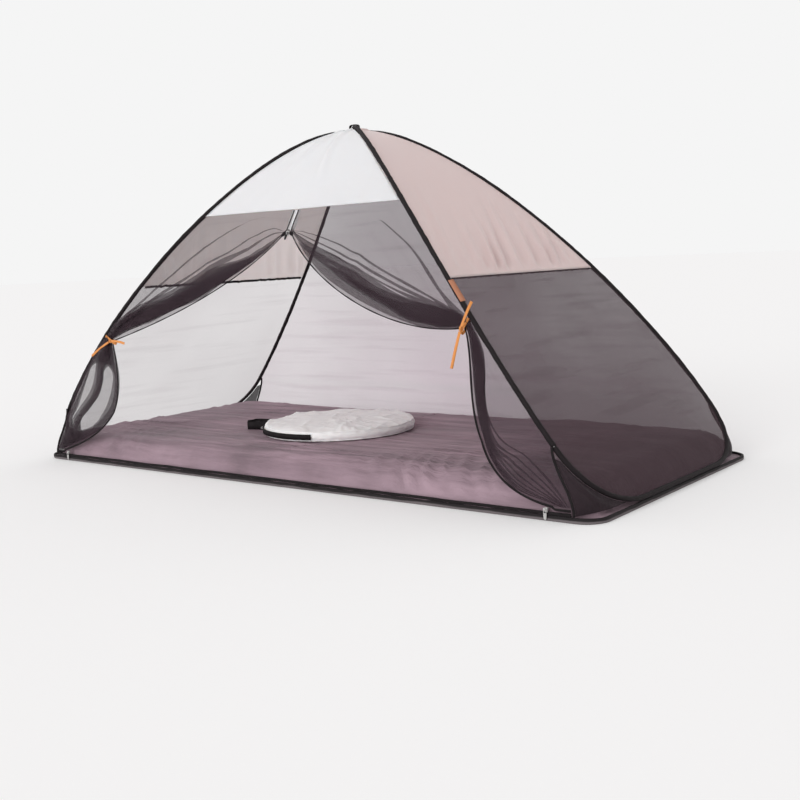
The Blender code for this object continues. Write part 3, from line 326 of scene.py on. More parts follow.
def turn_way(u):
    """Direction of the wire's turn at a share of its curve."""
    return (corner_turn(min(u + 0.01, 1)) - corner_turn(max(u - 0.01, 0))).normalized()


def turn_edge(u):
    """Edge of an end wall above the wire's turn."""
    way = turn_way(u)
    slope = SPLIT_DIRECTION.cross(Vector((0, 1, 0))).normalized()
    slope = (slope - way * slope.dot(way)).normalized()
    inward = slope.cross(way)
    if inward.z < 0:
        inward = -inward
    reach = SLEEVE_RADIUS + PANEL_THICKNESS / 2 + CLOTH_CLEARANCE
    return corner_turn(u) + inward * reach


def sag_at(share, reach, height):
    """How far a wall is drawn in, at a share of its row."""
    fade = smooth_step(HEM_HEIGHT, HEM_HEIGHT + SAG_FADE, height)
    return WALL_SAG * 4 * share * (1 - share) * min(reach, 1) * fade


def wall_row(edge, is_long, sign, columns, margin=0.0):
    """Row of a wall: a long one from left to right, an end one from front to back."""
    reach, whole = (edge.x, HALF_LENGTH) if is_long else (edge.y, HALF_WIDTH)
    row = []
    for share in spaced(margin, 1 - margin, columns):
        sag = sag_at(share, reach / whole, edge.z)
        across = reach * (2 * share - 1)
        if is_long:
            row.append(Vector((across, sign * (edge.y - sag), edge.z)))
        else:
            row.append(Vector((sign * (edge.x - sag), across, edge.z)))
    return row


def just_below(t):
    """A place on the arch just under a seam."""
    step = 0.0001
    return t + step * 2 * (PANEL_THICKNESS / 2 + CLEARANCE) / (arch(t) - arch(t + step)).length


def long_wall_y(height):
    """How far the long wall stands from the middle at a height."""
    if height > SPLIT_HEIGHT:
        return arch(arch_at(height)).y
    share = min((SPLIT_HEIGHT - height) / (SPLIT_HEIGHT - DOOR_FOOT), 1)
    return SPLIT.y + (DOOR_Y - SPLIT.y) * share


def on_front(x, height):
    """Point of the front wall."""
    return Vector((x, -long_wall_y(height), height))


def wall_out(height):
    """Outward direction of the front wall at a height."""
    step = 0.002
    rise = on_front(0, height + step) - on_front(0, height - step)
    return Vector((0, -rise.z, rise.y)).normalized()


# Materials

MATERIALS = {}
NET_PITCH = 0.0012
FINE_GRAIN = 900.0


def shade(colour, factor):
    """The same colour, lighter or darker."""
    return tuple(min(c * factor, 1) for c in colour)


class Look:
    """A material and short ways to add nodes to it."""

    def __init__(self, name, colour, roughness, metallic=0.0, sheen=0.0, specular=0.5):
        self.material = bpy.data.materials.new(name)
        self.material.use_nodes = True
        self.nodes = self.material.node_tree.nodes
        self.links = self.material.node_tree.links
        self.shader = self.nodes["Principled BSDF"]
        self.colour = colour
        self.roughness = roughness
        self.give("Base Color", (*colour, 1))
        self.give("Roughness", roughness)
        self.give("Metallic", metallic)
        self.give("Sheen Weight", sheen)
        self.give("Specular IOR Level", specular)
        MATERIALS[name] = self.material

    def put(self, value, socket):
        """Link an output to a socket, or set a value on it."""
        if hasattr(value, "links"):
            self.links.new(value, socket)
        else:
            socket.default_value = value

    def give(self, name, value):
        """Link or set a socket of the shader."""
        self.put(value, self.shader.inputs[name])

    def node(self, kind, inputs=None, **values):
        """Add a node, set its properties and then its inputs."""
        made = self.nodes.new("ShaderNode" + kind)
        for key, value in values.items():
            setattr(made, key, value)
        for key, value in (inputs or {}).items():
            self.put(value, made.inputs[key])
        return made

    def math(self, operation, first, second):
        """Result of a sum."""
        return self.node("Math", {0: first, 1: second}, operation=operation).outputs[0]

    def place(self, kind="UV"):
        """Coordinates, in metres."""
        return self.node("TexCoord").outputs[kind]

    def scaled(self, vector, scale):
        """Coordinates with each axis scaled."""
        return self.node("Mapping", {"Vector": vector, "Scale": scale}).outputs[0]

    def noise(self, vector, scale, detail=3.0, rough=0.5):
        """Soft noise between 0 and 1."""
        inputs = {"Vector": vector, "Scale": scale, "Detail": detail, "Roughness": rough}
        return self.node("TexNoise", inputs).outputs[0]

    def streaks(self, vector, scale, detail=3.0, rough=0.5):
        """Noise that is drawn out along an axis."""
        return self.noise(self.scaled(vector, scale), 1.0, detail, rough)

    def threads(self, vector, pitch, axis):
        """Ridges one pitch apart across an axis, from 0 to 1."""
        inputs = {"Vector": vector, "Scale": math.pi / 10 / pitch}
        return self.node("TexWave", inputs, wave_type="BANDS", bands_direction=axis).outputs["Fac"]

    def weave(self, vector, pitch):
        """Warp and weft together, from 0 to 1."""
        return self.math("MAXIMUM", self.threads(vector, pitch, "X"), self.threads(vector, pitch, "Y"))

    def ramp(self, value, low, high, start, end):
        """Map a range of values to another."""
        return self.node("MapRange", dict(enumerate((value, low, high, start, end)))).outputs[0]

    def blend(self, factor, first, second):
        """Let the base colour go from one colour to another with a factor."""
        made = self.node("Mix", data_type="RGBA")
        for place, value in ((0, factor), (6, (*first, 1)), (7, (*second, 1))):
            self.put(value, made.inputs[place])
        self.give("Base Color", made.outputs[2])

    def tint(self, factor, darker, lighter):
        """Let the base colour go from darker to lighter with a factor."""
        self.blend(factor, shade(self.colour, darker), shade(self.colour, lighter))

    def worn(self, value, less, more):
        """Let the roughness go down and up with a noise."""
        self.give("Roughness", self.ramp(value, 0.3, 0.7, self.roughness - less, self.roughness + more))

    def bump(self, height, depth, strength, before=None):
        """Raise the surface by a height map, over an earlier one."""
        made = self.node("Bump", {"Distance": depth, "Strength": strength, "Height": height})
        if before is not None:
            self.put(before, made.inputs["Normal"])
        self.give("Normal", made.outputs[0])
        return made.outputs[0]


def net(name, colour, cover, streaks=(1.4, 16.0, 1), lines=0.05, painted_shade_right=0.0):
    """Fine mosquito net: threads that hide a share of what lies behind, with soft streaks."""
    look = Look(name, colour, 0.8, sheen=0.10, specular=0.1)
    place = look.place()
    whole = look.place("Object")
    threads = look.ramp(look.weave(place, NET_PITCH), 0.3, 1.0, cover - 0.04, cover + 0.04)
    wide = look.ramp(look.noise(whole, 1.7), 0.35, 0.65, -0.045, 0.045)
    crease = look.ramp(look.streaks(place, streaks), 0.52, 0.70, 0.0, lines)
    total = look.math("ADD", look.math("ADD", threads, wide), crease)
    # Alpha rises from x = -0.75 to the middle and stays up: painted shade that darkens the wall towards its
    # right end.
    if painted_shade_right:
        x = look.node("SeparateXYZ", {0: whole}).outputs[0]
        total = look.math("ADD", total, look.ramp(x, -0.75, 0.0, 0.0, painted_shade_right))
    look.give("Alpha", total)
    look.tint(look.noise(whole, 3.0), 0.85, 1.15)


def taffeta(name, colour, glow, wrinkle=0.0012, cover=1.0):
    """Thin woven panel cloth that lets some light through."""
    look = Look(name, colour, 0.55, sheen=0.2)
    look.give("Subsurface Weight", glow)
    look.give("Subsurface Radius", (1.0, 0.9, 0.85))
    look.give("Subsurface Scale", 0.004)
    # Alpha below 1 shows what lies behind; on the backlit beige copy it paints light shining through.
    look.give("Alpha", cover)
    place = look.place()
    cloudy = look.noise(look.place("Object"), 4.0, 4.0)
    look.tint(cloudy, 0.95, 1.05)
    fine = look.bump(look.noise(place, FINE_GRAIN, 2.0), 0.00005, 0.4)
    look.bump(look.streaks(place, (14, 9, 1), 4.0, 0.55), wrinkle, 0.6, fine)
    look.worn(cloudy, 0.08, 0.08)


def satin(name, colour):
    """Floor cloth with a soft shine and fine creases that run along it."""
    look = Look(name, colour, 0.55, sheen=0.05, specular=0.15)
    place = look.place("Object")
    cloudy = look.noise(place, 5.0, 5.0)
    # The tone mixes a random cloudiness with streaks along the cloth; the streaks are painted highlight and
    # shade of satin creases.
    streaks = look.streaks(place, (1.8, 24, 12), 6.0, 0.6)
    tone_and_crease_shade = look.math("ADD", look.math("MULTIPLY", cloudy, 0.45), look.math("MULTIPLY", streaks, 0.55))
    look.tint(look.ramp(tone_and_crease_shade, 0.38, 0.62, 0.0, 1.0), 0.66, 1.32)
    fine = look.bump(look.noise(look.place(), FINE_GRAIN, 2.0), 0.00004, 0.4)
    look.bump(look.streaks(place, (3.5, 40, 14), 5.0, 0.6), 0.012, 0.9, fine)
    look.worn(cloudy, 0.07, 0.1)


def webbing(name, colour, pitch=0.0011, specular=0.15):
    """Woven tape with a rib across it."""
    look = Look(name, colour, 0.7, specular=specular)
    place = look.place()
    ribs = look.threads(place, pitch, "Y")
    herring = look.math("MULTIPLY", ribs, look.threads(place, pitch * 1.7, "X"))
    look.bump(herring, 0.00012, 0.8)
    # Raised threads lighter and grooves darker: painted highlight and shade of the weave.
    look.tint(herring, 0.75, 1.3)
    look.worn(look.noise(look.place("Object"), 40.0), 0.1, 0.12)


def hem_webbing(name, colour, under):
    """Webbing with a paler turned-in edge low down."""
    look = Look(name, colour, 0.72, specular=0.2)
    place = look.place("Object")
    height = look.node("SeparateXYZ", {0: place}).outputs[2]
    edge = look.streaks(place, (14, 14, 40))
    line = look.math("ADD", height, look.math("MULTIPLY", edge, 0.006))
    look.blend(look.ramp(line, 0.0075, 0.0105, 0.0, 1.0), under, colour)
    look.bump(look.weave(look.place(), 0.0011), 0.0001, 0.7)


def sleeve_cloth(name, colour):
    """Dark sleeve cloth with creases along and across it."""
    look = Look(name, colour, 0.65, specular=0.12)
    place = look.place()
    fine = look.bump(look.weave(place, 0.0007), 0.00015, 0.5)
    crease = look.streaks(place, (90, 28, 1), 4.0, 0.6)
    look.bump(crease, 0.0012, 0.8, fine)
    # Lighter on the raised creases and darker in the sunk ones: painted highlight and shade.
    look.tint(crease, 0.6, 1.7)


def metal(name, colour, roughness):
    """Die-cast metal with small scratches and worn patches."""
    look = Look(name, colour, roughness, metallic=1.0)
    place = look.place("Object")
    scratch = look.streaks(place, (900, 120, 900))
    look.worn(scratch, 0.1, 0.14)
    look.tint(look.noise(place, 260.0), 0.8, 1.15)
    look.bump(scratch, 0.00005, 0.4)


# One net cloth in several copies. The back and left copies are much lighter and more see-through than
# door_net: painted light, for walls lit from behind. The right and corner copies are darker and denser:
# painted shade, with extra cover on the right wall for its slanted view.
net("door_net", (0.042, 0.026, 0.034), 0.44, streaks=(46, 1.0, 1), lines=0.055)
net("back_net", (0.31, 0.12, 0.235), 0.285, streaks=(1.8, 32.0, 1), lines=0.08, painted_shade_right=0.15)
net("left_net", (0.30, 0.13, 0.225), 0.27, streaks=(2.0, 30.0, 1), lines=0.06)
net("right_net", (0.044, 0.020, 0.028), 0.775, streaks=(2.6, 26.0, 1), lines=0.05)
net("corner_net", (0.026, 0.017, 0.021), 0.86)
taffeta("white_cloth", (0.96, 0.955, 0.955), glow=1.0)
taffeta("beige_cloth", (0.640, 0.462, 0.445), glow=1.0)
# Lighter, partly see-through copy of beige_cloth for the panels seen from inside: painted backlight.
taffeta("inner_beige_cloth", (0.95, 0.81, 0.79), glow=1.0, cover=0.68)
taffeta("bag_cloth", (0.985, 0.955, 0.95), wrinkle=0.004, glow=0.3)
satin("floor_cloth", (0.300, 0.213, 0.249))
sleeve_cloth("sleeve_cloth", (0.013, 0.010, 0.011))
webbing("black_tape", (0.014, 0.011, 0.012))
hem_webbing("hem_tape", (0.014, 0.011, 0.012), (0.16, 0.14, 0.145))
webbing("orange_ribbon", (0.86, 0.32, 0.085), pitch=0.0008, specular=0.4)
webbing("tab_ribbon", (0.50, 0.22, 0.13), pitch=0.0008)
metal("steel", (0.60, 0.59, 0.58), 0.32)
metal("black_metal", (0.03, 0.03, 0.03), 0.42)


# Meshes

def add_mesh(name, points, faces, uvs, surface, node=None, body="tent", thickness=0.0):
    """Make a piece from points, faces and UVs in metres, and let it ride."""
    data = bpy.data.meshes.new(name)
    data.from_pydata([point + SHIFT for point in points], [], faces)
    layer = data.uv_layers.new(name="metres")
    for loop in data.loops:
        layer.data[loop.index].uv = uvs[loop.vertex_index]
    data.shade_smooth()
    data.materials.append(MATERIALS[surface])
    obj = bpy.data.objects.new(name, data)
    bpy.context.scene.collection.objects.link(obj)
    if thickness:
        shell = obj.modifiers.new("thickness", "SOLIDIFY")
        shell.thickness = thickness
        shell.offset = 0
    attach(obj, body)
    if node:
        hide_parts(node)
    return obj


def grid_parts(rows, closed=False):
    """Points, faces and UVs of a grid of points."""
    points, faces, uvs = [], [], []
    count = len(rows[0])
    down = lengths_along([row[count // 2] for row in rows])
    for row, v in zip(rows, down):
        across = lengths_along(list(row) + ([row[0]] if closed else []))
        points.extend(row)
        uvs.extend((u, v) for u in across[:count])
    for i in range(len(rows) - 1):
        for j in range(count if closed else count - 1):
            a, b = i * count + j, i * count + (j + 1) % count
            faces.append((a, b, b + count, a + count))
    return points, faces, uvs


def tube_parts(rings, turned=False):
    """Points, faces and UVs of a row of rings, with both ends closed."""
    points, faces, uvs = grid_parts(rings, True)
    count = len(rings[0])
    first, last = tuple(range(count)), tuple(range(len(points) - count, len(points)))
    faces += [first, last[::-1]] if turned else [first[::-1], last]
    return points, faces, uvs


def cloth(name, rows, surface, closed=False, **given):
    """Piece of cloth through a grid of points."""
    return add_mesh(name, *grid_parts(rows, closed), surface, **given)


def panel(name, rows, depth, surface, node, thickness=0.0):
    """Stretched sheet with creases, made from its smooth rows."""
    made = cloth(name, pushed(rows, depth), surface, node=node, thickness=thickness)


def pushed(rows, depth):
    """Move a grid's points along its normals by depth(down, across, point)."""
    made = []
    last, wide = len(rows) - 1, len(rows[0]) - 1
    for i, row in enumerate(rows):
        line = []
        for j, point in enumerate(row):
            along_row = row[min(j + 1, wide)] - row[max(j - 1, 0)]
            down_row = rows[min(i + 1, last)][j] - rows[max(i - 1, 0)][j]
            normal = along_row.cross(down_row)
            if normal.length > 1e-12:
                normal.normalize()
            line.append(point + normal * depth(i / last, j / wide, point))
        made.append(line)
    return made


def rim_fade(down, across, reach=0.06):
    """0 at a sheet's edges and 1 inside it."""
    near = min(down, 1 - down, across, 1 - across)
    return smooth_step(0, reach, near)


def cloud(x, y, z=0.0):
    """Smooth noise between about -1 and 1."""
    return noise.noise(Vector((x, y, z)))


def crease_line(value, sharpness, power):
    """Height of a line that stands up where a noise crosses zero."""
    return max(0, 1 - abs(value) * sharpness) ** power


def bump_at(value, middle, width):
    """1 at a middle value, fading to 0 about a width away."""
    return math.exp(-((value - middle) / width) ** 2)


def rounded(angle, power):
    """Cosine and sine of an angle, squared up by a power below 1."""
    cosine, sine = math.cos(angle), math.sin(angle)
    return math.copysign(abs(cosine) ** power, cosine), math.copysign(abs(sine) ** power, sine)


def band_rings(path, width, thickness, facing, closed=False):
    """Sections of a flat band whose wide side faces a direction."""
    rings = []
    for place, (point, way) in enumerate(zip(path, tangents(path, closed))):
        normal = facing(point, way)
        normal = (normal - way * normal.dot(way)).normalized()
        side = way.cross(normal) * (width(place / (len(path) - 1)) if callable(width) else width)
        ring = []
        for sign in (1, -1):
            for share in spaced(sign * 0.5, -sign * 0.5, 2):
                lift = thickness / 2 * sign * (1 - 0.35 * (2 * abs(share)) ** 6)
                ring.append(point + side * share + normal * lift)
        rings.append(ring)
    return rings


def band(name, path, width, thickness, facing, surface, closed=False, **given):
    """Flat band of webbing or ribbon, in a loop or closed at its ends."""
    rings = band_rings(path, width, thickness, facing, closed)
    parts = grid_parts(rings + rings[:1], True) if closed else tube_parts(rings, turned=True)
    return add_mesh(name, *parts, surface, **given)


def rod(name, path, radius_at, sides, surface, **given):
    """Round piece along a path; radius_at(distance, angle) gives its radius."""
    rings = []
    side = (path[1] - path[0]).orthogonal()
    for point, way, mark in zip(path, tangents(path), lengths_along(path)):
        side = (side - way * side.dot(way)).normalized()
        over = way.cross(side)
        ring = []
        for k in range(sides):
            angle = 2 * math.pi * k / sides
            ring.append(point + (side * math.cos(angle) + over * math.sin(angle)) * radius_at(mark, angle))
        rings.append(ring)
    return add_mesh(name, *tube_parts(rings), surface, **given)


# Camera, light and ground

def add_camera(scene):
    """Camera of the photograph."""
    yaw, pitch, roll = CAMERA_YAW, CAMERA_PITCH, CAMERA_ROLL
    ahead = Vector((-math.sin(yaw) * math.cos(pitch), math.cos(yaw) * math.cos(pitch), -math.sin(pitch)))
    right = Vector((math.cos(yaw), math.sin(yaw), 0))
    above = right.cross(ahead)
    side = right * math.cos(roll) + above * math.sin(roll)
    top = above * math.cos(roll) - right * math.sin(roll)
    data = bpy.data.cameras.new("camera")
    data.sensor_width = CAMERA_SENSOR
    data.lens = CAMERA_LENS
    data.clip_end = 100
    camera = bpy.data.objects.new("camera", data)
    scene.collection.objects.link(camera)
    turn = Matrix((side, top, -ahead)).transposed().to_4x4()
    camera.matrix_world = Matrix.Translation(CAMERA_PLACE) @ turn
    scene.camera = camera


def seen_directly(nodes, links):
    """1 for rays that show a surface to the camera, straight on or in metal and glass."""
    ray = nodes.new("ShaderNodeLightPath")
    either = nodes.new("ShaderNodeMath")
    either.operation = "ADD"
    any_seen = nodes.new("ShaderNodeMath")
    any_seen.operation = "ADD"
    any_seen.use_clamp = True
    links.new(ray.outputs["Is Camera Ray"], either.inputs[0])
    links.new(ray.outputs["Is Glossy Ray"], either.inputs[1])
    links.new(either.outputs[0], any_seen.inputs[0])
    links.new(ray.outputs["Is Transmission Ray"], any_seen.inputs[1])
    return any_seen.outputs[0]


def add_light(scene):
    """Even light from all round with a pale background, and the lamps."""
    world = bpy.data.worlds.new("studio")
    world.use_nodes = True
    scene.world = world
    nodes, links = world.node_tree.nodes, world.node_tree.links
    nodes.clear()
    mix = nodes.new("ShaderNodeMixShader")
    out = nodes.new("ShaderNodeOutputWorld")
    shown = (((*WORLD_COLOUR, 1), WORLD_STRENGTH), ((BACKGROUND, BACKGROUND, BACKGROUND, 1), 1.0))
    for place, (colour, strength) in enumerate(shown, 1):
        light = nodes.new("ShaderNodeBackground")
        light.inputs["Color"].default_value = colour
        light.inputs["Strength"].default_value = strength
        links.new(light.outputs[0], mix.inputs[place])
    links.new(seen_directly(nodes, links), mix.inputs[0])
    links.new(mix.outputs[0], out.inputs["Surface"])
    for name, direction, strength, angle in LAMPS:
        lamp = bpy.data.lights.new(name, "SUN")
        lamp.energy = strength
        lamp.angle = math.radians(angle)
        obj = bpy.data.objects.new(name, lamp)
        scene.collection.objects.link(obj)
        obj.rotation_euler = Vector(direction).to_track_quat("-Z", "Y").to_euler()


def add_ground(scene):
    """Pale ground just below the tent."""
    mesh = bpy.data.meshes.new("floor")
    corners = ((-1, -1), (1, -1), (1, 1), (-1, 1))
    mesh.from_pydata([(x * GROUND_REACH, y * GROUND_REACH, 0) for x, y in corners], [], [(0, 1, 2, 3)])
    ground = bpy.data.objects.new("floor", mesh)
    scene.collection.objects.link(ground)
    look = Look("floor", (GROUND_COLOUR, GROUND_COLOUR, GROUND_COLOUR), 0.9, specular=0.0)
    look.give("Emission Color", (1, 1, 1, 1))
    lift = look.math("MULTIPLY", seen_directly(look.nodes, look.links), GROUND_LIFT)
    look.give("Emission Strength", lift)
    mesh.materials.append(look.material)
    ground.location.z = -GROUND_GAP


def build_stage():
    """Camera of the photograph, plain light and a pale ground."""
    scene = bpy.context.scene
    scene.view_settings.view_transform = "Standard"
    add_camera(scene)
    add_light(scene)
    add_ground(scene)


# Frame sleeves

SIDES = {"left": -1, "right": 1}


def sleeve_radius(seed, base=SLEEVE_RADIUS):
    """Radius of a creased sleeve, by distance and angle."""
    def radius(mark, angle):
        across, over = math.cos(angle), math.sin(angle)
        fold = math.cos((angle + mark * 9 + seed) * 2) * 0.05
        crease = cloud(across * 1.4 + seed, over * 1.4, mark * 42) * 0.16
        crease += cloud(across * 3 + seed, over * 3, mark * 110) * 0.06
        return base * (1.0 + fold + crease)
    return radius


def sleeve(node, route, seed):
    """Creased cloth sleeve along a route."""
    rod(node.replace("sleeve", "sleeve_cloth"), resampled(route, SLEEVE_STEP), sleeve_radius(seed),
        SLEEVE_SIDES, "sleeve_cloth", node=node)


def half_arch(signs, lift):
    """Arch points from the apex to the split."""
    return [quarter(crossing(arch(t), lift), signs) for t in spaced(0, T_SPLIT, 200)]


def half_end(signs):
    """Points from just below the split to the middle of the end, without the last."""
    points = [quarter(corner_turn(u), signs) for u in spaced(0, 1, 60)]
    points[0] = points[0].lerp(points[1], SPLIT_GAP / (points[1] - points[0]).length)
    return points


def build_sleeves():
    """Sleeves over the wire: one for each arch and one for each end."""
    arches = {
        "a": ("front_left", "back_right", -CROSSING_LIFT),
        "b": ("back_left", "front_right", CROSSING_LIFT),
    }
    for seed, (key, (first, second, lift)) in enumerate(arches.items()):
        start, end = half_arch(QUARTERS[first], lift), half_arch(QUARTERS[second], lift)
        sleeve("arch_sleeve_" + key, start[::-1] + end[1:], seed * 7.3)
    for seed, (name, sign) in enumerate(SIDES.items()):
        sleeve("end_sleeve_" + name, half_end((sign, -1)) + half_end((sign, 1))[::-1], 20 + seed * 5.1)


def build_apex_band():
    """Cloth loop that ties the two sleeves together where they cross."""
    low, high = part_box("apex_band")
    middle = (low + high) / 2 - SHIFT
    half = (high - low) / 2
    path = []
    for i in range(48):
        across, over = rounded(2 * math.pi * i / 48, 0.5)
        wave = 1 + 0.03 * cloud(i * 0.5, 3.1)
        path.append(middle + Vector((across * (half.x - 0.001) * wave, 0, over * (half.z - 0.001))))
    band("apex_band_cloth", path, 2 * half.y, 0.0018, lambda point, way: point - middle,
         "sleeve_cloth", closed=True, node="apex_band")


# Walls

# Share of the arch at which the upper panels start
PANEL_TOP = 0.002
# Folds above the side seams, with their lean in metres along the seam for each metre up
GATHER_DEPTH = 0.0080
GATHER_PITCH = 0.060
GATHER_RISE = 0.21
GATHER_LEAN = -0.85
# White flap behind the slit, the seam tapes and the corner nets
FLAP_HALF_WIDTH = 0.016
FLAP_DEPTH = 0.006
FLAP_OVERLAP = 0.002
SEAM_TAPE_MARGIN = 0.005
SEAM_TAPE_LIFT = 0.0006
GUSSET_STEPS = 18


def wall_wave(seed, size, wide_grain, tall_grain):
    """Soft creases that lie along a wall."""
    def depth(down, across, point):
        wide, tall = (point.x + point.y) * wide_grain, point.z * tall_grain
        soft = cloud(wide + seed, tall, seed)
        small = cloud(wide * 3.1, tall * 2.3 + seed, 4.0)
        return size * rim_fade(down, across) * (soft + 0.3 * small)
    return depth


def apex_fan(seed, size, count):
    """Creases that fan out from the apex."""
    def depth(down, across, point):
        wide = point.x if abs(point.x) > abs(point.y) or seed < 5 else point.y
        angle = math.atan2(wide, APEX_HEIGHT + 0.05 - point.z)
        fan = math.sin(angle * count + 2.5 * cloud(angle * 3, seed, point.z * 4))
        patch = smooth_step(-0.25, 0.35, cloud(angle * 2.2 + seed, point.z * 3, 7.7))
        return size * rim_fade(down, across) * fan * patch
    return depth


def seam_gathers(seed, lean):
    """Slanted folds that start at the seam below a panel and fade upwards."""
    fan = apex_fan(seed, GATHER_DEPTH * 0.5, 22)

    def depth(down, across, point):
        up = point.z - SIDE_SEAM
        wide = point.y + up * lean
        drift = wide + 0.022 * cloud(wide * 11, up * 5, seed) + 0.05 * cloud(wide * 3, up * 2, seed + 3)
        fold = math.sin(2 * math.pi * drift / GATHER_PITCH) + 0.5 * cloud(wide * 40, up * 7, seed + 5)
        patch = smooth_step(-0.3, 0.3, cloud(wide * 5 + seed, up * 3, 1.0))
        reach = GATHER_RISE * (0.55 + 0.75 * smooth_step(-0.4, 0.4, cloud(wide * 13, seed)))
        near_seam = (1 - smooth_step(0, reach, up)) * smooth_step(0.005, 0.034, up)
        side = smooth_step(0, 0.08, min(across, 1 - across))
        gathered = GATHER_DEPTH * fold * near_seam * (0.35 + 0.65 * patch) * side
        return gathered + fan(down, across, point)
    return depth


def arch_rows(start, end, count, is_long, sign, columns):
    """Rows of a wall between two places down its arches."""
    return [wall_row(arch_edge(t, is_long), is_long, sign, columns) for t in spaced(start, end, count)]


def build_walls():
    """White and beige panels at the top, nets below them."""
    rows = arch_rows(PANEL_TOP, T_FRONT, 60, True, -1, 70)
    panel("front_upper_cloth", rows, apex_fan(1.0, 0.0042, 17), "white_cloth",
          "front_upper_panel", PANEL_SHELL)
    rows = arch_rows(PANEL_TOP, T_BACK, 50, True, 1, 60)
    panel("back_upper_cloth", rows, apex_fan(2.0, 0.0018, 22), "inner_beige_cloth",
          "back_upper_panel", PANEL_SHELL)
    rows = arch_rows(just_below(T_BACK), T_SPLIT, 52, True, 1, 130)
    rows += [wall_row(seam_edge(u), True, 1, 130) for u in spaced(0.08, 1.0, 12)]
    panel("back_wall_net", rows, wall_wave(3.0, 0.0060, 1.5, 16.0), "back_net",
          "back_mesh_wall")
    for name, sign, seed in (("left", -1, 6.0), ("right", 1, 8.0)):
        rows = arch_rows(PANEL_TOP, T_SIDE, 110, False, sign, 190)
        surface = "beige_cloth" if sign > 0 else "inner_beige_cloth"
        panel(name + "_upper_cloth", rows, seam_gathers(seed, GATHER_LEAN * sign), surface,
              name + "_upper_panel", PANEL_SHELL)
        rows = arch_rows(just_below(T_SIDE), T_SPLIT, 36, False, sign, 56)[:-1]
        rows += [wall_row(turn_edge(u), False, sign, 56) for u in spaced(0.03, 1, 24)]
        panel(name + "_wall_net", rows, wall_wave(seed, 0.003, 2.0, 9.0), name + "_net",
              name + "_mesh_wall")


def build_slit_flap():
    """White strip behind the open slit above the middle slider."""
    rows = []
    for z in spaced(FRONT_SEAM - FLAP_OVERLAP, TOP_SLIDER_HEIGHT + FLAP_OVERLAP, 10):
        middle = on_front(0, z) + Vector((0, FLAP_DEPTH, 0))
        row = []
        for share in spaced(-1, 1, 8):
            bow = 0.002 * math.cos(share * 1.4) + 0.0012 * cloud(z * 30, share, 2.0)
            row.append(middle + Vector((share * FLAP_HALF_WIDTH, bow, 0)))
        rows.append(row)
    cloth("slit_flap_cloth", rows, "white_cloth", thickness=PANEL_SHELL)


def build_seams():
    """Gathered tapes on the seams between panel and net."""
    depth = PANEL_THICKNESS / 2 + CLOTH_CLEARANCE + SEAM_TAPE_LIFT
    walls = {"back": (T_BACK, True, 1, 120), "left": (T_SIDE, False, -1, 90), "right": (T_SIDE, False, 1, 90)}
    for seed, (name, (t, is_long, sign, columns)) in enumerate(walls.items()):
        way = arch_way(t)
        normal = Vector((0, way.z * sign, -way.y)) if is_long else Vector((way.z * sign, 0, -way.x))
        normal.normalize()
        edge = arch_edge(t, is_long)
        margin = SEAM_TAPE_MARGIN / (edge.x if is_long else edge.y)
        path = []
        for k, point in enumerate(wall_row(edge, is_long, sign, columns, margin)):
            lift = depth + 0.0006 * cloud(k * 0.55, seed * 9.0)
            path.append(point + normal * lift + UP * (0.0030 * cloud(k * 0.55, seed + 5.0)))
        band("seam_tape_" + name, path, SEAM_TAPE_WIDTH, SEAM_TAPE_THICKNESS,
             lambda point, way, n=normal: n, "black_tape", node="seam_binding_" + name)


def rounded_corner(inset_x, inset_y, radius, height, steps):
    """Quarter of the hem's outline, from the long side to the end."""
    x = HALF_LENGTH - inset_x - radius
    y = HALF_WIDTH - inset_y - radius
    angles = [math.pi / 2 * (1 - i / steps) for i in range(steps + 1)]
    return [Vector((x + radius * math.cos(a), y + radius * math.sin(a), height)) for a in angles]


def beside_turn(u, other):
    """Place beside the sleeve's turn, towards another point."""
    way = turn_way(u)
    point = corner_turn(u)
    side = other - point
    side = (side - way * side.dot(way)).normalized()
    return point + side * (SLEEVE_RADIUS + PANEL_THICKNESS / 2 + GUSSET_CLEARANCE)


def gusset_rows():
    """Net corner between the seam, the wire's turn and the hem."""
    lowest = HEM_HEIGHT + PANEL_THICKNESS / 2 + CLEARANCE
    inset = HEM_WIDTH / 2
    corner = rounded_corner(inset, inset, HEM_RADIUS - inset, lowest, GUSSET_STEPS)
    seam_gap = BINDING_RADIUS + PANEL_THICKNESS / 2 + GUSSET_CLEARANCE
    rows = []
    for v in spaced(0.16, 1, 24):
        seam = corner_seam(v)
        seam.z = max(seam.z, lowest)
        right = beside_turn(v * GUSSET_REACH, seam)
        left = seam + (right - seam).normalized() * seam_gap
        row = []
        for j, place in enumerate(corner):
            share = j / GUSSET_STEPS
            point = left.lerp(right, share) + (place - corner[0].lerp(corner[-1], share)) * v
            point.z = max(point.z, lowest)
            row.append(point)
        rows.append(row)
    return rows


def gusset_wave(seed):
    """Slack of a net corner."""
    return lambda down, across, point: 0.0015 * rim_fade(down, across, 0.2) * math.sin(across * 16 + seed)


def build_corners():
    """Corner seams and the net gussets beside them."""
    seam = [corner_seam(v) for v in spaced(0, 1, 40)]
    base = gusset_rows()
    for seed, (name, signs) in enumerate(QUARTERS.items()):
        rod("corner_tape_" + name, [quarter(point, signs) for point in seam],
            sleeve_radius(40 + seed * 3.3, BINDING_RADIUS), 10, "black_tape", node="corner_binding_" + name)
        rows = pushed([[quarter(point, signs) for point in row] for row in base], gusset_wave(seed))
        made = cloth("corner_net_" + name, rows, "corner_net", node="corner_gusset_" + name)


# Hem and floor

HEM_STEP = 2.0 / 260
FLOOR_STEP = 2.0 / 110
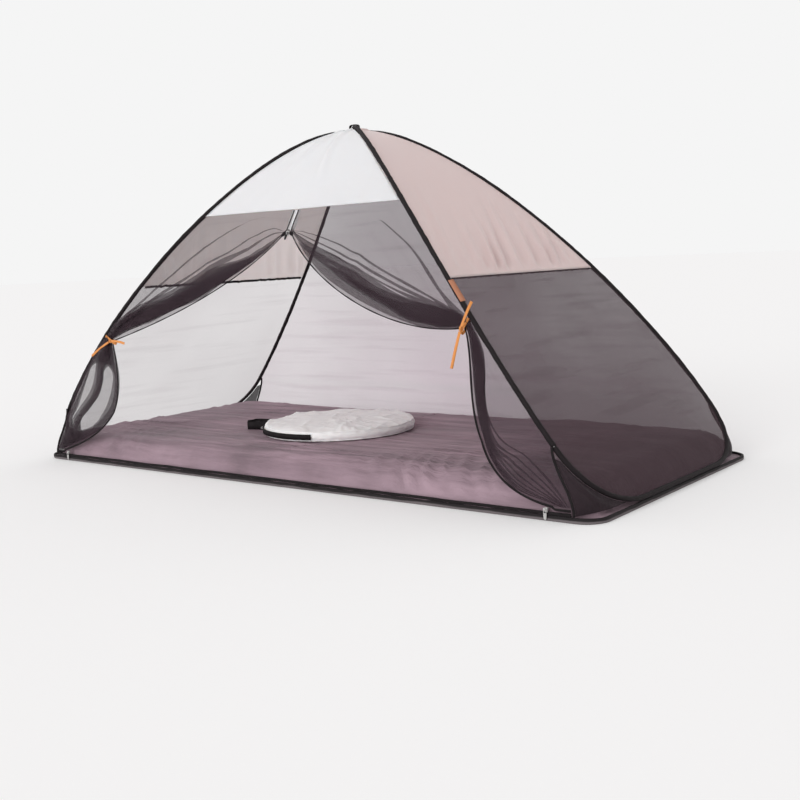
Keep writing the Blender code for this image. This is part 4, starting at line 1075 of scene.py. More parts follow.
# Shares of the floor's rounded edge at which it has a loop of points
FLOOR_EDGE_SHARES = (0.0, 0.01, 0.025, 0.05, 0.08, 0.12, 0.16, 0.2, 0.25, 0.3, 0.38, 0.46, 0.55, 0.65, 0.75,
                     0.87, 1.0)
# Places along the front where the floor is gathered
FLOOR_PINCH = 0.50
FLOOR_SMALL_PINCH = -0.72


def outline(inset_x, inset_y, radius, height, step):
    """Closed rectangle with round corners, with even points along its sides."""
    corner = rounded_corner(inset_x, inset_y, radius, height, 10)
    loop = list(corner)
    loop += [quarter(point, (1, -1)) for point in reversed(corner)]
    loop += [quarter(point, (-1, -1)) for point in corner]
    loop += [quarter(point, (-1, 1)) for point in reversed(corner)]
    made = []
    for point, after in zip(loop, loop[1:] + loop[:1]):
        count = max(1, round((after - point).length / step))
        made.extend(point.lerp(after, i / count) for i in range(count))
    return made


def build_hem():
    """Webbing hem that the tent stands on, with a stitched fold along its top."""
    inset = HEM_WIDTH / 2
    path = outline(inset, inset, HEM_RADIUS - inset, HEM_HEIGHT / 2, HEM_STEP)
    rings = []
    for k, (point, way) in enumerate(zip(path, tangents(path, True))):
        out = way.cross(UP)
        wave = 0.0010 * cloud(k * 0.22, 1.7) - 0.0008
        ring = []
        for i in range(16):
            across, over = rounded(2 * math.pi * i / 16, 0.6)
            half = HEM_WIDTH / 2 * (0.80 + 0.12 * cloud(k * 0.3, i * 0.4, 5.0))
            height = HEM_HEIGHT / 2 * over + (wave if over > 0 else 0)
            ring.append(point + out * (across * half) + UP * height)
        rings.append(ring)
    cloth("base_hem_webbing", rings + rings[:1], "hem_tape", closed=True, node="base_hem")


def floor_wrinkle(point):
    """Height of the floor's folds at a place."""
    x, y = point.x, point.y
    soft = cloud(x * 2.6, y * 6.0, 2.0) * 0.0040
    drift = 0.05 * cloud(x * 2.0, y * 3.0, 6.0)
    ridge = crease_line(cloud(x * 1.5, (y + drift) * 15.0, 5.0), 7, 1.5) * 0.0060
    ridge += crease_line(cloud(x * 3.1 + 4, (y + drift) * 24.0, 9.0), 8, 1.5) * 0.0036
    patch = smooth_step(-0.35, 0.35, cloud(x * 2.1, y * 4.2, 12.0))
    front = smooth_step(0.10, 0.36, -y)
    way = x * 62 + 26 * (y + 0.4) + 3 * cloud(x * 5, y * 5, 1.0)
    gather = (1 - abs(math.sin(way))) ** 2 * 0.0085
    pinch = bump_at(x, FLOOR_PINCH, 0.24) * front
    small = bump_at(x, FLOOR_SMALL_PINCH, 0.20) * front
    return soft + ridge * (0.3 + 0.7 * patch) + gather * (pinch + 0.5 * small)


def floor_ruffle(point):
    """How far the front slope of the floor goes in and out at a place."""
    x = point.x
    if point.y > -0.3 or abs(x) > 0.93:
        return 0.0
    soft = 0.0040 * cloud(x * 7, point.z * 12, 3.0) + 0.0022 * cloud(x * 24, point.z * 20, 8.0)
    wave = 1 - 2 * abs(math.sin(x * 42 + point.z * 36 + 3 * cloud(x * 6, 2.0)))
    pinch = bump_at(x, FLOOR_PINCH, 0.22) + 0.5 * bump_at(x, FLOOR_SMALL_PINCH, 0.20)
    return soft + 0.0075 * wave * pinch + 0.005


def evenly(loop, count):
    """The same closed loop with a number of even points."""
    closed = loop + loop[:1]
    marks = lengths_along(closed)
    return [along(closed, k / count, marks) for k in range(count)]


def floor_loops():
    """Loops of the smooth floor, from the hem over the rounded edge to the middle."""
    low = HEM_HEIGHT / 2
    rim = HEM_WIDTH + CLEARANCE
    top = FLOOR_TOP - FLOOR_THICKNESS / 2
    lowest = outline(rim, rim, HEM_RADIUS - rim, low, FLOOR_STEP)
    count = len(lowest)
    loops = [evenly(lowest, count)]
    for share in FLOOR_EDGE_SHARES:
        turned = FLOOR_EDGE_ROUND * share
        height = low + (top - low) * math.sqrt(1 - (1 - share) ** 2)
        made = outline(FLOOR_LEDGE_END + turned, FLOOR_LEDGE_LONG + turned, HEM_RADIUS, height, FLOOR_STEP)
        loops.append(evenly(made, count))
    edge = loops[-1]
    for share in spaced(0.985, 0.03, 74):
        drawn = (1 - share) * 0.36
        loop = []
        for point in edge:
            x = math.copysign(max(abs(point.x) - drawn, 0), point.x)
            loop.append(Vector((x, point.y * share, top)))
        loops.append(loop)
    return loops


def build_floor():
    """Raised floor sheet with fine creases."""
    loops = []
    for k, smooth in enumerate(floor_loops()):
        fade = smooth_step(0, 9, k)
        slope = smooth_step(1.5, 6, k) * (1 - smooth_step(12, 20, k))
        loop = []
        for point in smooth:
            ruffle = slope * floor_ruffle(point)
            loop.append(point + UP * (floor_wrinkle(point) * fade - 0.001 * fade) + Vector((0, ruffle, 0)))
        loops.append(loop)
    points, faces, _ = grid_parts(loops, True)
    first = len(points) - len(loops[0])
    for k in range(len(loops[0]) // 2 - 1):
        last = len(points) - 1 - k
        faces.append((first + k, first + k + 1, last - 1, last))
    uvs = [(point.x, point.y) for point in points]
    made = add_mesh("floor_cloth_sheet", points, faces, uvs, "floor_cloth", node="floor_sheet",
                    thickness=FLOOR_SHELL)


# Door curtains

CURTAIN_ROWS = 170
FIRST_COLUMNS = 34
PLEAT_COLUMNS = 9
LAST_COLUMNS = 12
LAYER_STEP = 0.0017
SEAM_OVERLAP = 0.0030
BUNCH_REACH = 0.021
BUNCH_RADIUS = 0.0042
ZIP_END = HALF_LENGTH - HEM_RADIUS - 2 * BINDING_RADIUS


def curtain_foot():
    """Height of the curtain's lowest edge, above the closed zip."""
    return TAPE_TOP + 2 * CLEARANCE + 1.6 * EDGE_TAPE_WIDTH


def sewn_edge():
    """Top and side of a curtain, from the middle slit to the hem's corner."""
    top_t = just_below(T_FRONT)
    top = arch_edge(top_t, True)
    points = []
    for x in spaced(CENTRE_SLIT, top.x, 24)[:-1]:
        sag = sag_at(0.5 + 0.5 * x / top.x, top.x / HALF_LENGTH, top.z)
        points.append(Vector((x, -(top.y - sag), top.z)))
    gap = Vector((CLOTH_CLEARANCE * 3, 0, 0))
    for t in spaced(top_t, T_SPLIT, 40):
        edge = arch_edge(t, True) - gap
        points.append(Vector((edge.x, -edge.y, edge.z)))
    foot = curtain_foot()
    for u in (0.15, 0.3, 0.45, 0.6, 0.75, 0.9):
        edge = seam_edge(u) - gap
        if edge.z > foot + PANEL_THICKNESS:
            points.append(Vector((edge.x, -edge.y, edge.z)))
    edge = seam_edge(0.95) - gap
    points.append(Vector((edge.x, -DOOR_Y, foot)))
    return points


def free_edge(tie, swag, drop, slider_x, t):
    """Open edge of a curtain: down the swag to the tie, then to the slider."""
    if t <= TIE_SHARE:
        points, u = ((CENTRE_SLIT, TOP_SLIDER_HEIGHT), *swag, tie), t / TIE_SHARE
    else:
        end = (abs(slider_x) + SLIDER_LENGTH / 2 + SLIDER_ROOM, curtain_foot())
        points, u = (tie, *drop, end), (t - TIE_SHARE) / (1 - TIE_SHARE)
    flat = bezier(*[(x, 0, z) for x, z in points], u)
    return on_front(flat.x, flat.z)


def nearest_share(path, point):
    """Share of a path that lies nearest to a point."""
    return min(spaced(0, 1, 400), key=lambda share: (along(path, share) - point).length)


def keyed(keys, t):
    """Smooth values between keys of (t, value, value)."""
    if t <= keys[0][0]:
        return keys[0][1:]
    if t >= keys[-1][0]:
        return keys[-1][1:]
    k = max(i for i, key in enumerate(keys) if key[0] <= t)
    t0, t1 = keys[k][0], keys[k + 1][0]
    u = (t - t0) / (t1 - t0)
    before, after = keys[max(k - 1, 0)], keys[min(k + 2, len(keys) - 1)]
    made = []
    for j in range(1, len(keys[k])):
        a, b = keys[k][j], keys[k + 1][j]
        slope_a = (b - before[j]) / (t1 - before[0]) * (t1 - t0)
        slope_b = (after[j] - a) / (after[0] - t0) * (t1 - t0)
        made.append((2 * u ** 3 - 3 * u ** 2 + 1) * a + (u ** 3 - 2 * u ** 2 + u) * slope_a
                    + (3 * u ** 2 - 2 * u ** 3) * b + (u ** 3 - u ** 2) * slope_b)
    return made


def row_turns(pleats, t, width, seed):
    """Places across a row where its cloth turns back, with the depth of each."""
    step = min(LAYER_STEP, fold_room(t) / len(pleats))
    turns, layers = [], 0.0
    for k, keys in enumerate(pleats):
        middle, overlap = keyed(keys, t)
        stir = 0.0035 / max(width, 0.04) * smooth_step(0.01, 0.06, overlap)
        middle += stir * cloud(t * 9, k * 3.7, seed)
        overlap += stir * 1.4 * cloud(t * 12, k * 5.3, seed + 4)
        active = smooth_step(-0.008, 0.012, overlap)
        turns.append([middle + overlap / 2, -layers - step * active / 2])
        turns.append([middle - overlap / 2, -layers - step * active * 1.5])
        layers += 2 * step * active
    return [(place, depth + layers / 2 + step / 2) for place, depth in turns]


def folded_row(turns, width):
    """Way along and out of a row of cloth, forward to each turn and back again."""
    stops = [(0.0, 0.0), *turns, (1.0, 0.0)]
    last = len(stops) - 2
    route = []
    for k, ((a, low), (b, high)) in enumerate(zip(stops, stops[1:])):
        count = {0: FIRST_COLUMNS, last: LAST_COLUMNS}.get(k, PLEAT_COLUMNS)
        for j in range(count + (k == last)):
            u = j / count
            if k == 0:
                eased = math.sin(math.pi * u / 2)
            elif k == last:
                eased = 1 - math.cos(math.pi * u / 2)
            else:
                eased = 0.5 - 0.5 * math.cos(math.pi * u)
            route.append(((a + (b - a) * eased) * width, low + (high - low) * u))
    return route


def fold_room(t):
    """Furthest that the folds may stand out, by place down the curtain."""
    swag = 0.0135 * smooth_step(0.0, 0.15, t)
    drop = 0.0095 * (1 - smooth_step(0.80, 1.0, t)) + 0.002
    pinch = bump_at(t, TIE_SHARE, 0.035)
    return max((swag if t < TIE_SHARE else drop) * (1 - pinch) + 0.0042 * pinch, 0.0012)


def curtain_rows(shape, pleats):
    """Grid of one tied-back curtain, on the right-hand side."""
    tie = shape[0]
    seed = tie[0] * 9
    sewn = sewn_edge()
    marks = lengths_along(sewn)
    sewn_tie = nearest_share(sewn, on_front(*tie))
    out = Vector((0, -1, 0.35)).normalized()
    grid = []
    for t in spaced(0, 1, CURTAIN_ROWS):
        if t > TIE_SHARE:
            share = sewn_tie + (1 - sewn_tie) * (t - TIE_SHARE) / (1 - TIE_SHARE)
        else:
            share = sewn_tie * t / TIE_SHARE
        start, end = along(sewn, share, marks), free_edge(*shape, t)
        start = start - (end - start).normalized() * SEAM_OVERLAP
        width = (end - start).length
        ahead = (end - start).normalized()
        away = (out - ahead * out.dot(ahead)).normalized()
        loose = min(width / 0.1, 1) * smooth_step(0, 0.1, t) * (1 - smooth_step(0.93, 1, t))
        row = []
        for far, lift in folded_row(row_turns(pleats, t, width, seed), width):
            inside = smooth_step(0, 0.12, min(far / width, 1 - far / width))
            ripple = 0.0028 * cloud(far * 24, t * 7, seed) + 0.0014 * cloud(far * 60, t * 12, 2.0)
            belly = 0.010 * math.sin(math.pi * min(max(far / width, 0), 1))
            row.append(start + ahead * far + away * (lift + (ripple * inside + belly) * loose))
        grid.append(row)
    return grid


def with_drop(places, table):
    """Keys of each pleat: its own ones on the swag, then its values at shared places on the drop."""
    return [swag + tuple(zip(places, middles, overlaps)) for swag, middles, overlaps in table]


LEFT_DOOR = (LEFT_TIE, LEFT_SWAG, LEFT_DROP, LEFT_SLIDER_X)
RIGHT_DOOR = (RIGHT_TIE, RIGHT_SWAG, RIGHT_DROP, RIGHT_SLIDER_X)
# Pleats of each curtain from the seam to the open edge. The keys on the swag say where down the
# curtain, where across it from 0 to 1, and how wide the cloth lies over itself there. Below the
# tie, a row of places across and a row of widths follow, at the places down the curtain given here
LEFT_DROP_PLACES = (0.6, 0.64, 0.68, 0.71, 0.75, 0.8, 0.85, 0.9, 0.95, 1)
RIGHT_DROP_PLACES = (0.6, 0.65, 0.7, 0.75, 0.8, 0.85, 0.9, 0.95, 1)
LEFT_PLEATS = (
    (((0.0, 0.15, -0.010), (0.10, 0.22, -0.010), (0.135, 0.285, 0.010), (0.15, 0.31, 0.02),
      (0.20, 0.40, 0.028), (0.25, 0.475, 0.03), (0.30, 0.47, 0.035), (0.40, 0.48, 0.05),
      (0.50, 0.45, 0.10), (0.55, 0.34, 0.22)),
     (0.20, 0.24, 0.22, 0.11, 0.105, 0.11, 0.135, 0.15, 0.30, 0.2),
     (0.35, 0.46, 0.40, 0.19, 0.17, 0.17, 0.19, 0.20, 0.35, 0.1)),
    (((0.0, 0.98, -0.004), (0.01, 0.90, 0.01), (0.03, 0.70, 0.02), (0.05, 0.58, 0.025), (0.10, 0.61, 0.03),
      (0.15, 0.64, 0.03), (0.20, 0.664, 0.03), (0.25, 0.675, 0.03), (0.30, 0.66, 0.04), (0.40, 0.61, 0.06),
      (0.50, 0.55, 0.14), (0.55, 0.42, 0.30)),
     (0.30, 0.36, 0.34, 0.13, 0.16, 0.175, 0.17, 0.17, 0.36, 0.3),
     (0.45, 0.52, 0.46, 0.17, 0.09, 0.10, 0.17, 0.19, 0.40, 0.1)),
    (((0.0, 0.985, -0.004), (0.01, 0.93, 0.01), (0.03, 0.80, 0.03), (0.05, 0.74, 0.04), (0.10, 0.76, 0.05),
      (0.15, 0.74, 0.06), (0.20, 0.73, 0.08), (0.30, 0.73, 0.09), (0.40, 0.66, 0.12), (0.50, 0.52, 0.24),
      (0.55, 0.40, 0.38)),
     (0.42, 0.46, 0.46, 0.47, 0.51, 0.485, 0.40, 0.36, 0.5, 0.4),
     (0.45, 0.52, 0.46, 0.29, 0.28, 0.27, 0.25, 0.26, 0.45, 0.1)),
    (((0.0, 0.99, -0.002), (0.01, 0.965, 0.03), (0.03, 0.945, 0.07), (0.05, 0.945, 0.085),
      (0.10, 0.92, 0.13), (0.15, 0.90, 0.16), (0.20, 0.866, 0.21), (0.25, 0.855, 0.24),
      (0.30, 0.855, 0.245), (0.35, 0.825, 0.26), (0.40, 0.805, 0.28), (0.45, 0.75, 0.33),
      (0.50, 0.67, 0.42), (0.55, 0.53, 0.55)),
     (0.48, 0.54, 0.52, 0.50, 0.54, 0.51, 0.42, 0.38, 0.55, 0.5),
     (0.55, 0.52, 0.46, 0.25, 0.21, 0.19, 0.19, 0.22, 0.45, 0.1)),
    (((0.03, 0.955, -0.002), (0.06, 0.95, 0.05), (0.12, 0.925, 0.10), (0.20, 0.875, 0.18),
      (0.25, 0.865, 0.21), (0.30, 0.862, 0.22), (0.35, 0.83, 0.24), (0.40, 0.81, 0.26), (0.45, 0.76, 0.31),
      (0.50, 0.68, 0.40), (0.55, 0.54, 0.55)),
     (0.54, 0.60, 0.62, 0.53, 0.56, 0.53, 0.44, 0.40, 0.6, 0.55),
     (0.55, 0.52, 0.46, 0.18, 0.13, 0.12, 0.12, 0.17, 0.45, 0.1)),
    (((0.09, 0.94, -0.002), (0.14, 0.915, 0.09), (0.20, 0.88, 0.16), (0.24, 0.872, 0.18),
      (0.30, 0.868, 0.21), (0.38, 0.825, 0.23), (0.45, 0.765, 0.30), (0.50, 0.69, 0.38),
      (0.55, 0.55, 0.55)),
     (0.60, 0.66, 0.74, 0.89, 0.915, 0.905, 0.89, 0.87, 0.66, 0.6),
     (0.50, 0.50, 0.42, 0.17, 0.15, 0.16, 0.19, 0.23, 0.45, 0.1)),
    (((0.13, 0.93, -0.002), (0.18, 0.90, 0.08), (0.26, 0.88, 0.14), (0.33, 0.86, 0.17), (0.40, 0.83, 0.21),
      (0.46, 0.77, 0.28), (0.51, 0.69, 0.36), (0.55, 0.58, 0.50)),
     (0.66, 0.74, 0.80, 0.91, 0.93, 0.93, 0.905, 0.885, 0.70, 0.65),
     (0.45, 0.44, 0.34, 0.14, 0.12, 0.11, 0.13, 0.17, 0.45, 0.1)),
)
RIGHT_PLEATS = (
    (((0.0, 0.08, -0.01), (0.22, 0.30, -0.012), (0.27, 0.25, 0.006), (0.32, 0.21, 0.014),
      (0.38, 0.165, 0.02), (0.44, 0.16, 0.04), (0.52, 0.20, 0.09), (0.57, 0.26, 0.28)),
     (0.28, 0.36, 0.48, 0.66, 0.66, 0.585, 0.33, 0.20, 0.2),
     (0.45, 0.50, 0.40, 0.20, 0.04, 0.03, 0.03, 0.05, 0.1)),
    (((0.0, 0.965, -0.004), (0.01, 0.90, 0.008), (0.025, 0.82, 0.015), (0.05, 0.72, 0.018),
      (0.08, 0.67, 0.018), (0.11, 0.635, 0.018), (0.15, 0.61, 0.018), (0.20, 0.60, 0.018),
      (0.25, 0.62, 0.018), (0.30, 0.605, 0.022), (0.40, 0.53, 0.03), (0.50, 0.43, 0.07),
      (0.55, 0.40, 0.20)),
     (0.36, 0.42, 0.54, 0.70, 0.74, 0.72, 0.47, 0.33, 0.3),
     (0.45, 0.52, 0.42, 0.24, 0.12, 0.06, 0.035, 0.05, 0.1)),
    (((0.0, 0.975, -0.004), (0.01, 0.92, 0.01), (0.025, 0.86, 0.018), (0.05, 0.785, 0.02),
      (0.10, 0.725, 0.02), (0.15, 0.69, 0.02), (0.20, 0.68, 0.022), (0.25, 0.69, 0.022),
      (0.30, 0.67, 0.026), (0.40, 0.60, 0.04), (0.50, 0.52, 0.09), (0.55, 0.48, 0.25)),
     (0.44, 0.50, 0.60, 0.74, 0.80, 0.80, 0.60, 0.46, 0.4),
     (0.48, 0.54, 0.44, 0.28, 0.16, 0.08, 0.035, 0.05, 0.1)),
    (((0.0, 0.982, -0.004), (0.01, 0.94, 0.01), (0.025, 0.89, 0.02), (0.05, 0.835, 0.02),
      (0.10, 0.78, 0.018), (0.15, 0.745, 0.018), (0.20, 0.73, 0.018), (0.25, 0.735, 0.018),
      (0.30, 0.72, 0.020), (0.40, 0.66, 0.03), (0.50, 0.60, 0.10), (0.55, 0.55, 0.30)),
     (0.50, 0.56, 0.64, 0.77, 0.83, 0.83, 0.70, 0.58, 0.45),
     (0.50, 0.54, 0.44, 0.28, 0.18, 0.08, 0.04, 0.06, 0.1)),
    (((0.0, 0.99, -0.002), (0.01, 0.965, 0.03), (0.03, 0.90, 0.09), (0.06, 0.865, 0.12),
      (0.10, 0.84, 0.14), (0.15, 0.82, 0.15), (0.20, 0.80, 0.165), (0.25, 0.82, 0.16), (0.30, 0.81, 0.17),
      (0.35, 0.79, 0.19), (0.40, 0.785, 0.22), (0.45, 0.785, 0.29), (0.50, 0.76, 0.38), (0.55, 0.70, 0.50)),
     (0.56, 0.62, 0.68, 0.79, 0.85, 0.86, 0.79, 0.69, 0.5),
     (0.50, 0.52, 0.42, 0.28, 0.18, 0.10, 0.05, 0.06, 0.1)),
    (((0.05, 0.89, -0.004), (0.10, 0.86, 0.06), (0.16, 0.84, 0.07), (0.21, 0.81, 0.05), (0.27, 0.82, 0.10),
      (0.34, 0.80, 0.08), (0.40, 0.79, 0.16), (0.46, 0.775, 0.22), (0.50, 0.74, 0.36), (0.55, 0.71, 0.50)),
     (0.62, 0.68, 0.72, 0.81, 0.87, 0.93, 0.87, 0.79, 0.55),
     (0.50, 0.50, 0.42, 0.26, 0.17, 0.07, 0.06, 0.06, 0.1)),
    (((0.24, 0.87, -0.004), (0.30, 0.86, 0.05), (0.36, 0.84, 0.07), (0.41, 0.83, 0.12), (0.46, 0.81, 0.24),
      (0.51, 0.77, 0.28), (0.55, 0.74, 0.44)),
     (0.68, 0.74, 0.77, 0.84, 0.89, 0.945, 0.925, 0.88, 0.6),
     (0.48, 0.46, 0.40, 0.24, 0.15, 0.07, 0.06, 0.06, 0.1)),
    (((0.05, 0.955, -0.004), (0.10, 0.93, 0.09), (0.18, 0.915, 0.14), (0.26, 0.91, 0.15),
      (0.34, 0.91, 0.15), (0.42, 0.91, 0.14), (0.47, 0.90, 0.17), (0.52, 0.87, 0.22), (0.56, 0.81, 0.34)),
     (0.74, 0.80, 0.81, 0.87, 0.91, 0.955, 0.955, 0.94, 0.65),
     (0.45, 0.40, 0.36, 0.22, 0.14, 0.06, 0.06, 0.07, 0.1)),
)
DOORS = {
    "left": (LEFT_DOOR, with_drop(LEFT_DROP_PLACES, LEFT_PLEATS), "arch_sleeve_cloth_a"),
    "right": (RIGHT_DOOR, with_drop(RIGHT_DROP_PLACES, RIGHT_PLEATS), "arch_sleeve_cloth_b"),
}


def edge_tape_path(shape):
    """Middle of the zip tape along a curtain's open edge."""
    reach = 0.35 * EDGE_TAPE_WIDTH
    edge = [free_edge(*shape, t) for t in spaced(0, 1, 300)]
    top = sewn_edge()[0]
    path = [Vector((top.x - reach, top.y, top.z - EDGE_TAPE_THICKNESS))]
    for share in (0.3, 0.6):
        path.append(path[0].lerp(edge[0] - Vector((reach, 0, 0)), share))
    for k, (point, way) in enumerate(zip(edge[:-1], tangents(edge))):
        beside = point + Vector((way.z, 0, -way.x)).normalized() * reach
        near = edge[max(k - 6, 0):k + 7]
        if min((beside - other).length for other in near) > reach * 0.97:
            path.append(beside)
    level = TAPE_TOP + CLEARANCE + EDGE_TAPE_WIDTH / 2
    path.append(Vector((edge[-1].x, -DOOR_Y, level + CLEARANCE)))
    path.append(Vector((ZIP_END, -DOOR_Y, level)))
    return path


def teeth(name, path, radius, **given):
    """Nylon coil of a zip, as a fine row of beads."""
    def bead(mark, angle):
        return radius * (0.86 + 0.14 * math.cos(2 * math.pi * mark / COIL_PITCH))

    rod(name, resampled(path, COIL_PITCH / 4), bead, 6, "black_tape", **given)


def tape_width(share):
    """Width of the edge's zip tape, which curls up on the swag and opens below the tie."""
    return EDGE_TAPE_WIDTH * (0.52 + 0.34 * smooth_step(0.56, 0.72, share) + 0.05 * math.sin(share * 90))


def build_curtains():
    """Tied-back door curtains and the zip tapes on their open edges."""
    for name, (shape, pleats, held_by) in DOORS.items():
        sign = SIDES[name]
        rows = [[quarter(point, (sign, 1)) for point in row] for row in curtain_rows(shape, pleats)]
        made = cloth(name + "_curtain_net", rows, "door_net", node=name + "_door_curtain")
        path = [quarter(point, (sign, 1)) for point in edge_tape_path(shape)]
        band(name + "_edge_tape", path, tape_width, EDGE_TAPE_THICKNESS,
             lambda point, way: wall_out(point.z), "black_tape", node=name + "_door_zip_tape")
        teeth(name + "_edge_coil", [point + wall_out(point.z) * 0.0006 for point in path], COIL_RADIUS)
        build_knot_bunch(name, path)


def build_hem_zip():
    """Zip tape that stands on the front of the hem, with its coil."""
    half = (TAPE_TOP - TEETH_HEIGHT / 2 - TAPE_BOTTOM) / 2
    line = []
    for x in spaced(-ZIP_END, ZIP_END, 400):
        line.append(Vector((x, -DOOR_Y, TAPE_BOTTOM + half + 0.0012 * cloud(x * 9, 3.0) - 0.0008)))
    band("hem_zip_tape", line, 1.5 * half, TAPE_THICKNESS, lambda point, way: Vector((0, -1, 0)),
         "black_tape", node="bottom_zip_tape")
    teeth("hem_zip_coil", [point + UP * (half * 0.75) for point in line], TEETH_HEIGHT / 2)


def build_knot_bunch(name, path):
    """Curtain's corner bunched up where its edge leaves the middle slider."""
    near = min(range(len(path) // 4), key=lambda k: abs(path[k].z - TOP_SLIDER_HEIGHT))
    marks = lengths_along(path)
    route = [point for point, mark in zip(path, marks) if abs(mark - marks[near]) < BUNCH_REACH]
    route = resampled([point + wall_out(point.z) * 0.0008 for point in route], 0.0015)
    whole = lengths_along(route)[-1]

    def radius(mark, angle):
        swell = math.sin(math.pi * min(max(mark / whole, 0.02), 0.98)) ** 0.7
        crumple = 0.5 * cloud(math.cos(angle) * 2 + len(name), math.sin(angle) * 2, mark * 130)
        return BUNCH_RADIUS * swell * (1 + crumple) + 0.0006

    rod(name + "_corner_bunch", route, radius, 14, "sleeve_cloth")


# Ribbons

KNOT_BAND_WIDTH = 0.0048
KNOT_BAND_THICKNESS = 0.0011


def outward(point, direction):
    """Direction away from the middle of the tent, square to a path."""
    away = point - Vector((0, 0, APEX_HEIGHT / 3))
    return (away - direction * away.dot(direction)).normalized()


def ribbon_tail(name, knot_at, dx, dz, twist):
    """Free end of a ribbon, sloped and slightly turned, made as a flat band."""
    way = Vector((dx, -0.15, dz)).normalized()
    path = []
    for k in spaced(0, 1, 20):
        point = knot_at + way * (KNOT_RADIUS + CLEARANCE + TAIL_LENGTH * k)
        path.append(point - UP * (TAIL_DROOP * k * k))
    length = lengths_along(path)[-1]

    def facing(point, direction):
        share = (point - path[0]).length / length
        return Vector((twist * share, -1, 0.2 + 0.3 * math.sin(3 * share)))

    made = band(name, path, RIBBON_WIDTH, RIBBON_THICKNESS, facing, "orange_ribbon",
                node=name.replace("ribbon", "tie"))


def ribbon_knot(name, centre, across):
    """Overhand knot of flat ribbon."""
    side = across.cross(UP).normalized()
    path = []
    for k in range(72):
        turn = 2 * math.pi * k / 72
        ring = 0.0030 + 0.0014 * math.cos(3 * turn)
        path.append(centre + across * (ring * math.cos(2 * turn)) + UP * (ring * math.sin(2 * turn))
                    + side * (0.0022 * math.sin(3 * turn)))
    band(name + "_ribbon_knot", path, KNOT_BAND_WIDTH, KNOT_BAND_THICKNESS,
         lambda point, way: point - centre, "orange_ribbon", closed=True, node=name + "_tie_knot")


def ribbon_tie(name, tie, swag, drop, tails):
    """Ribbon from the arch round the gathered curtain, its knot and its tails."""
    sign = SIDES[name]
    flat = Vector((tie[0], 0, tie[1]))
    down_swag = (flat - Vector((swag[1][0], 0, swag[1][1]))).normalized()
    down_drop = (Vector((drop[0][0], 0, drop[0][1])) - flat).normalized()
    half_turn = math.acos(-down_swag.dot(down_drop)) / 2
    down = (down_swag + down_drop).normalized()
    t = found(lambda t: (arch(t) - flat).dot(down) < 0, T_FRONT, T_SPLIT)
    sleeve_at = quarter(arch(t), (sign, -1))
    sleeve_way = quarter(arch_way(t), (sign, -1))
    across = quarter(on_front(*tie), (sign, 1)) - sleeve_at
    tape = EDGE_TAPE_WIDTH + CURTAIN_THICKNESS / 2 + CLOTH_CLEARANCE
    past = tape / math.sin(half_turn) + RIBBON_WIDTH / 2 / math.tan(half_turn)
    far = across.length + past + RIBBON_SLACK
    across.normalize()
    out = wall_out(tie[1])
    out = (out - across * out.dot(across)).normalized()
    way = across.cross(out)
    if way.dot(sleeve_way) < 0:
        way = -way
    depth = TIE_FOLD_DEPTH + CURTAIN_THICKNESS + RIBBON_THICKNESS
    seat = SLEEVE_RADIUS + RIBBON_SEAT + RIBBON_THICKNESS / 2
    near, lift = seat * math.cos(RIBBON_LIFT), seat * math.sin(RIBBON_LIFT)

    def round_loop(angle):
        reach = (near + far) / 2 + (far - near) / 2 * abs(math.cos(angle)) ** 0.6
        return sleeve_at + across * reach + out * (depth * math.sin(angle))

    def facing(point, direction):
        share = smooth_step(near, 3 * near, (point - sleeve_at).dot(across))
        return direction.cross(sleeve_way.lerp(way, share))

    path = [sleeve_at + across * near + out * lift]
    path += [round_loop(angle) for angle in spaced(math.pi / 2, -math.pi / 2, 36)]
    path.append(sleeve_at + across * near - out * lift)
    band(name + "_ribbon_loop", path, RIBBON_WIDTH, RIBBON_THICKNESS, facing, "orange_ribbon",
         node=name + "_tie_loop")
    front = round_loop(math.pi / 2 - math.pi / 12)
    knot_at = front + out * (RIBBON_THICKNESS / 2 + CLEARANCE + KNOT_RADIUS)
    ribbon_knot(name, knot_at, across)
    for label, (dx, dz, twist) in tails.items():
        ribbon_tail(name + "_ribbon_" + label, knot_at, dx, dz, twist)


def build_ribbons():
    """Ties on both arches, each tail with its slope across, its slope up and its twist."""
    ribbon_tie("left", LEFT_TIE, LEFT_SWAG, LEFT_DROP,
               {"tail_outer": (-0.93, -0.42, 0.9), "tail_inner": (0.98, 0.06, 0.1)})
    ribbon_tie("right", RIGHT_TIE, RIGHT_SWAG, RIGHT_DROP,
               {"tail_upper": (0.50, 0.86, 0.5), "tail_lower": (-0.24, -0.95, 0.8)})


def build_tab():
    """Bare tab sewn into the right arch."""
    path = []
    for height in spaced(TAB_TOP, TAB_BOTTOM, 16):
        t = arch_at(height)
        point = quarter(arch(t), (1, -1))
        way = quarter(arch_way(t), (1, -1))
        path.append(point + outward(point, way) * (SLEEVE_RADIUS + CLEARANCE + RIBBON_THICKNESS / 2))
    band("arch_tab_ribbon", path, TAB_WIDTH, RIBBON_THICKNESS, outward, "tab_ribbon", node="arch_tab")


# Carry bag

BAG_STEPS = 300
BAG_RIM = BAG_RADIUS - BAG_PANEL
BAG_TOTAL = BAG_PANEL + CLEARANCE + BAG_GUSSET
BAG_ZIP_FIRST = BAG_SIDE * BAG_ZIP_FIRST_SIDE
BAG_ZIP_LAST = BAG_SIDE * (BAG_ZIP_FIRST_SIDE + BAG_ZIP_SIDES)
BAG_ZIP_FADE = math.radians(4)
BAG_RIDGE_ANGLE = math.radians(322)
BAG_CREASE_ANGLE = math.radians(203)
# Each crumple of the bag: grain, direction and depth
BAG_CRUMPLES = ((3.4, 0.6, 0.0030), (6.5, 2.2, 0.0018), (11.0, 1.3, 0.0011))
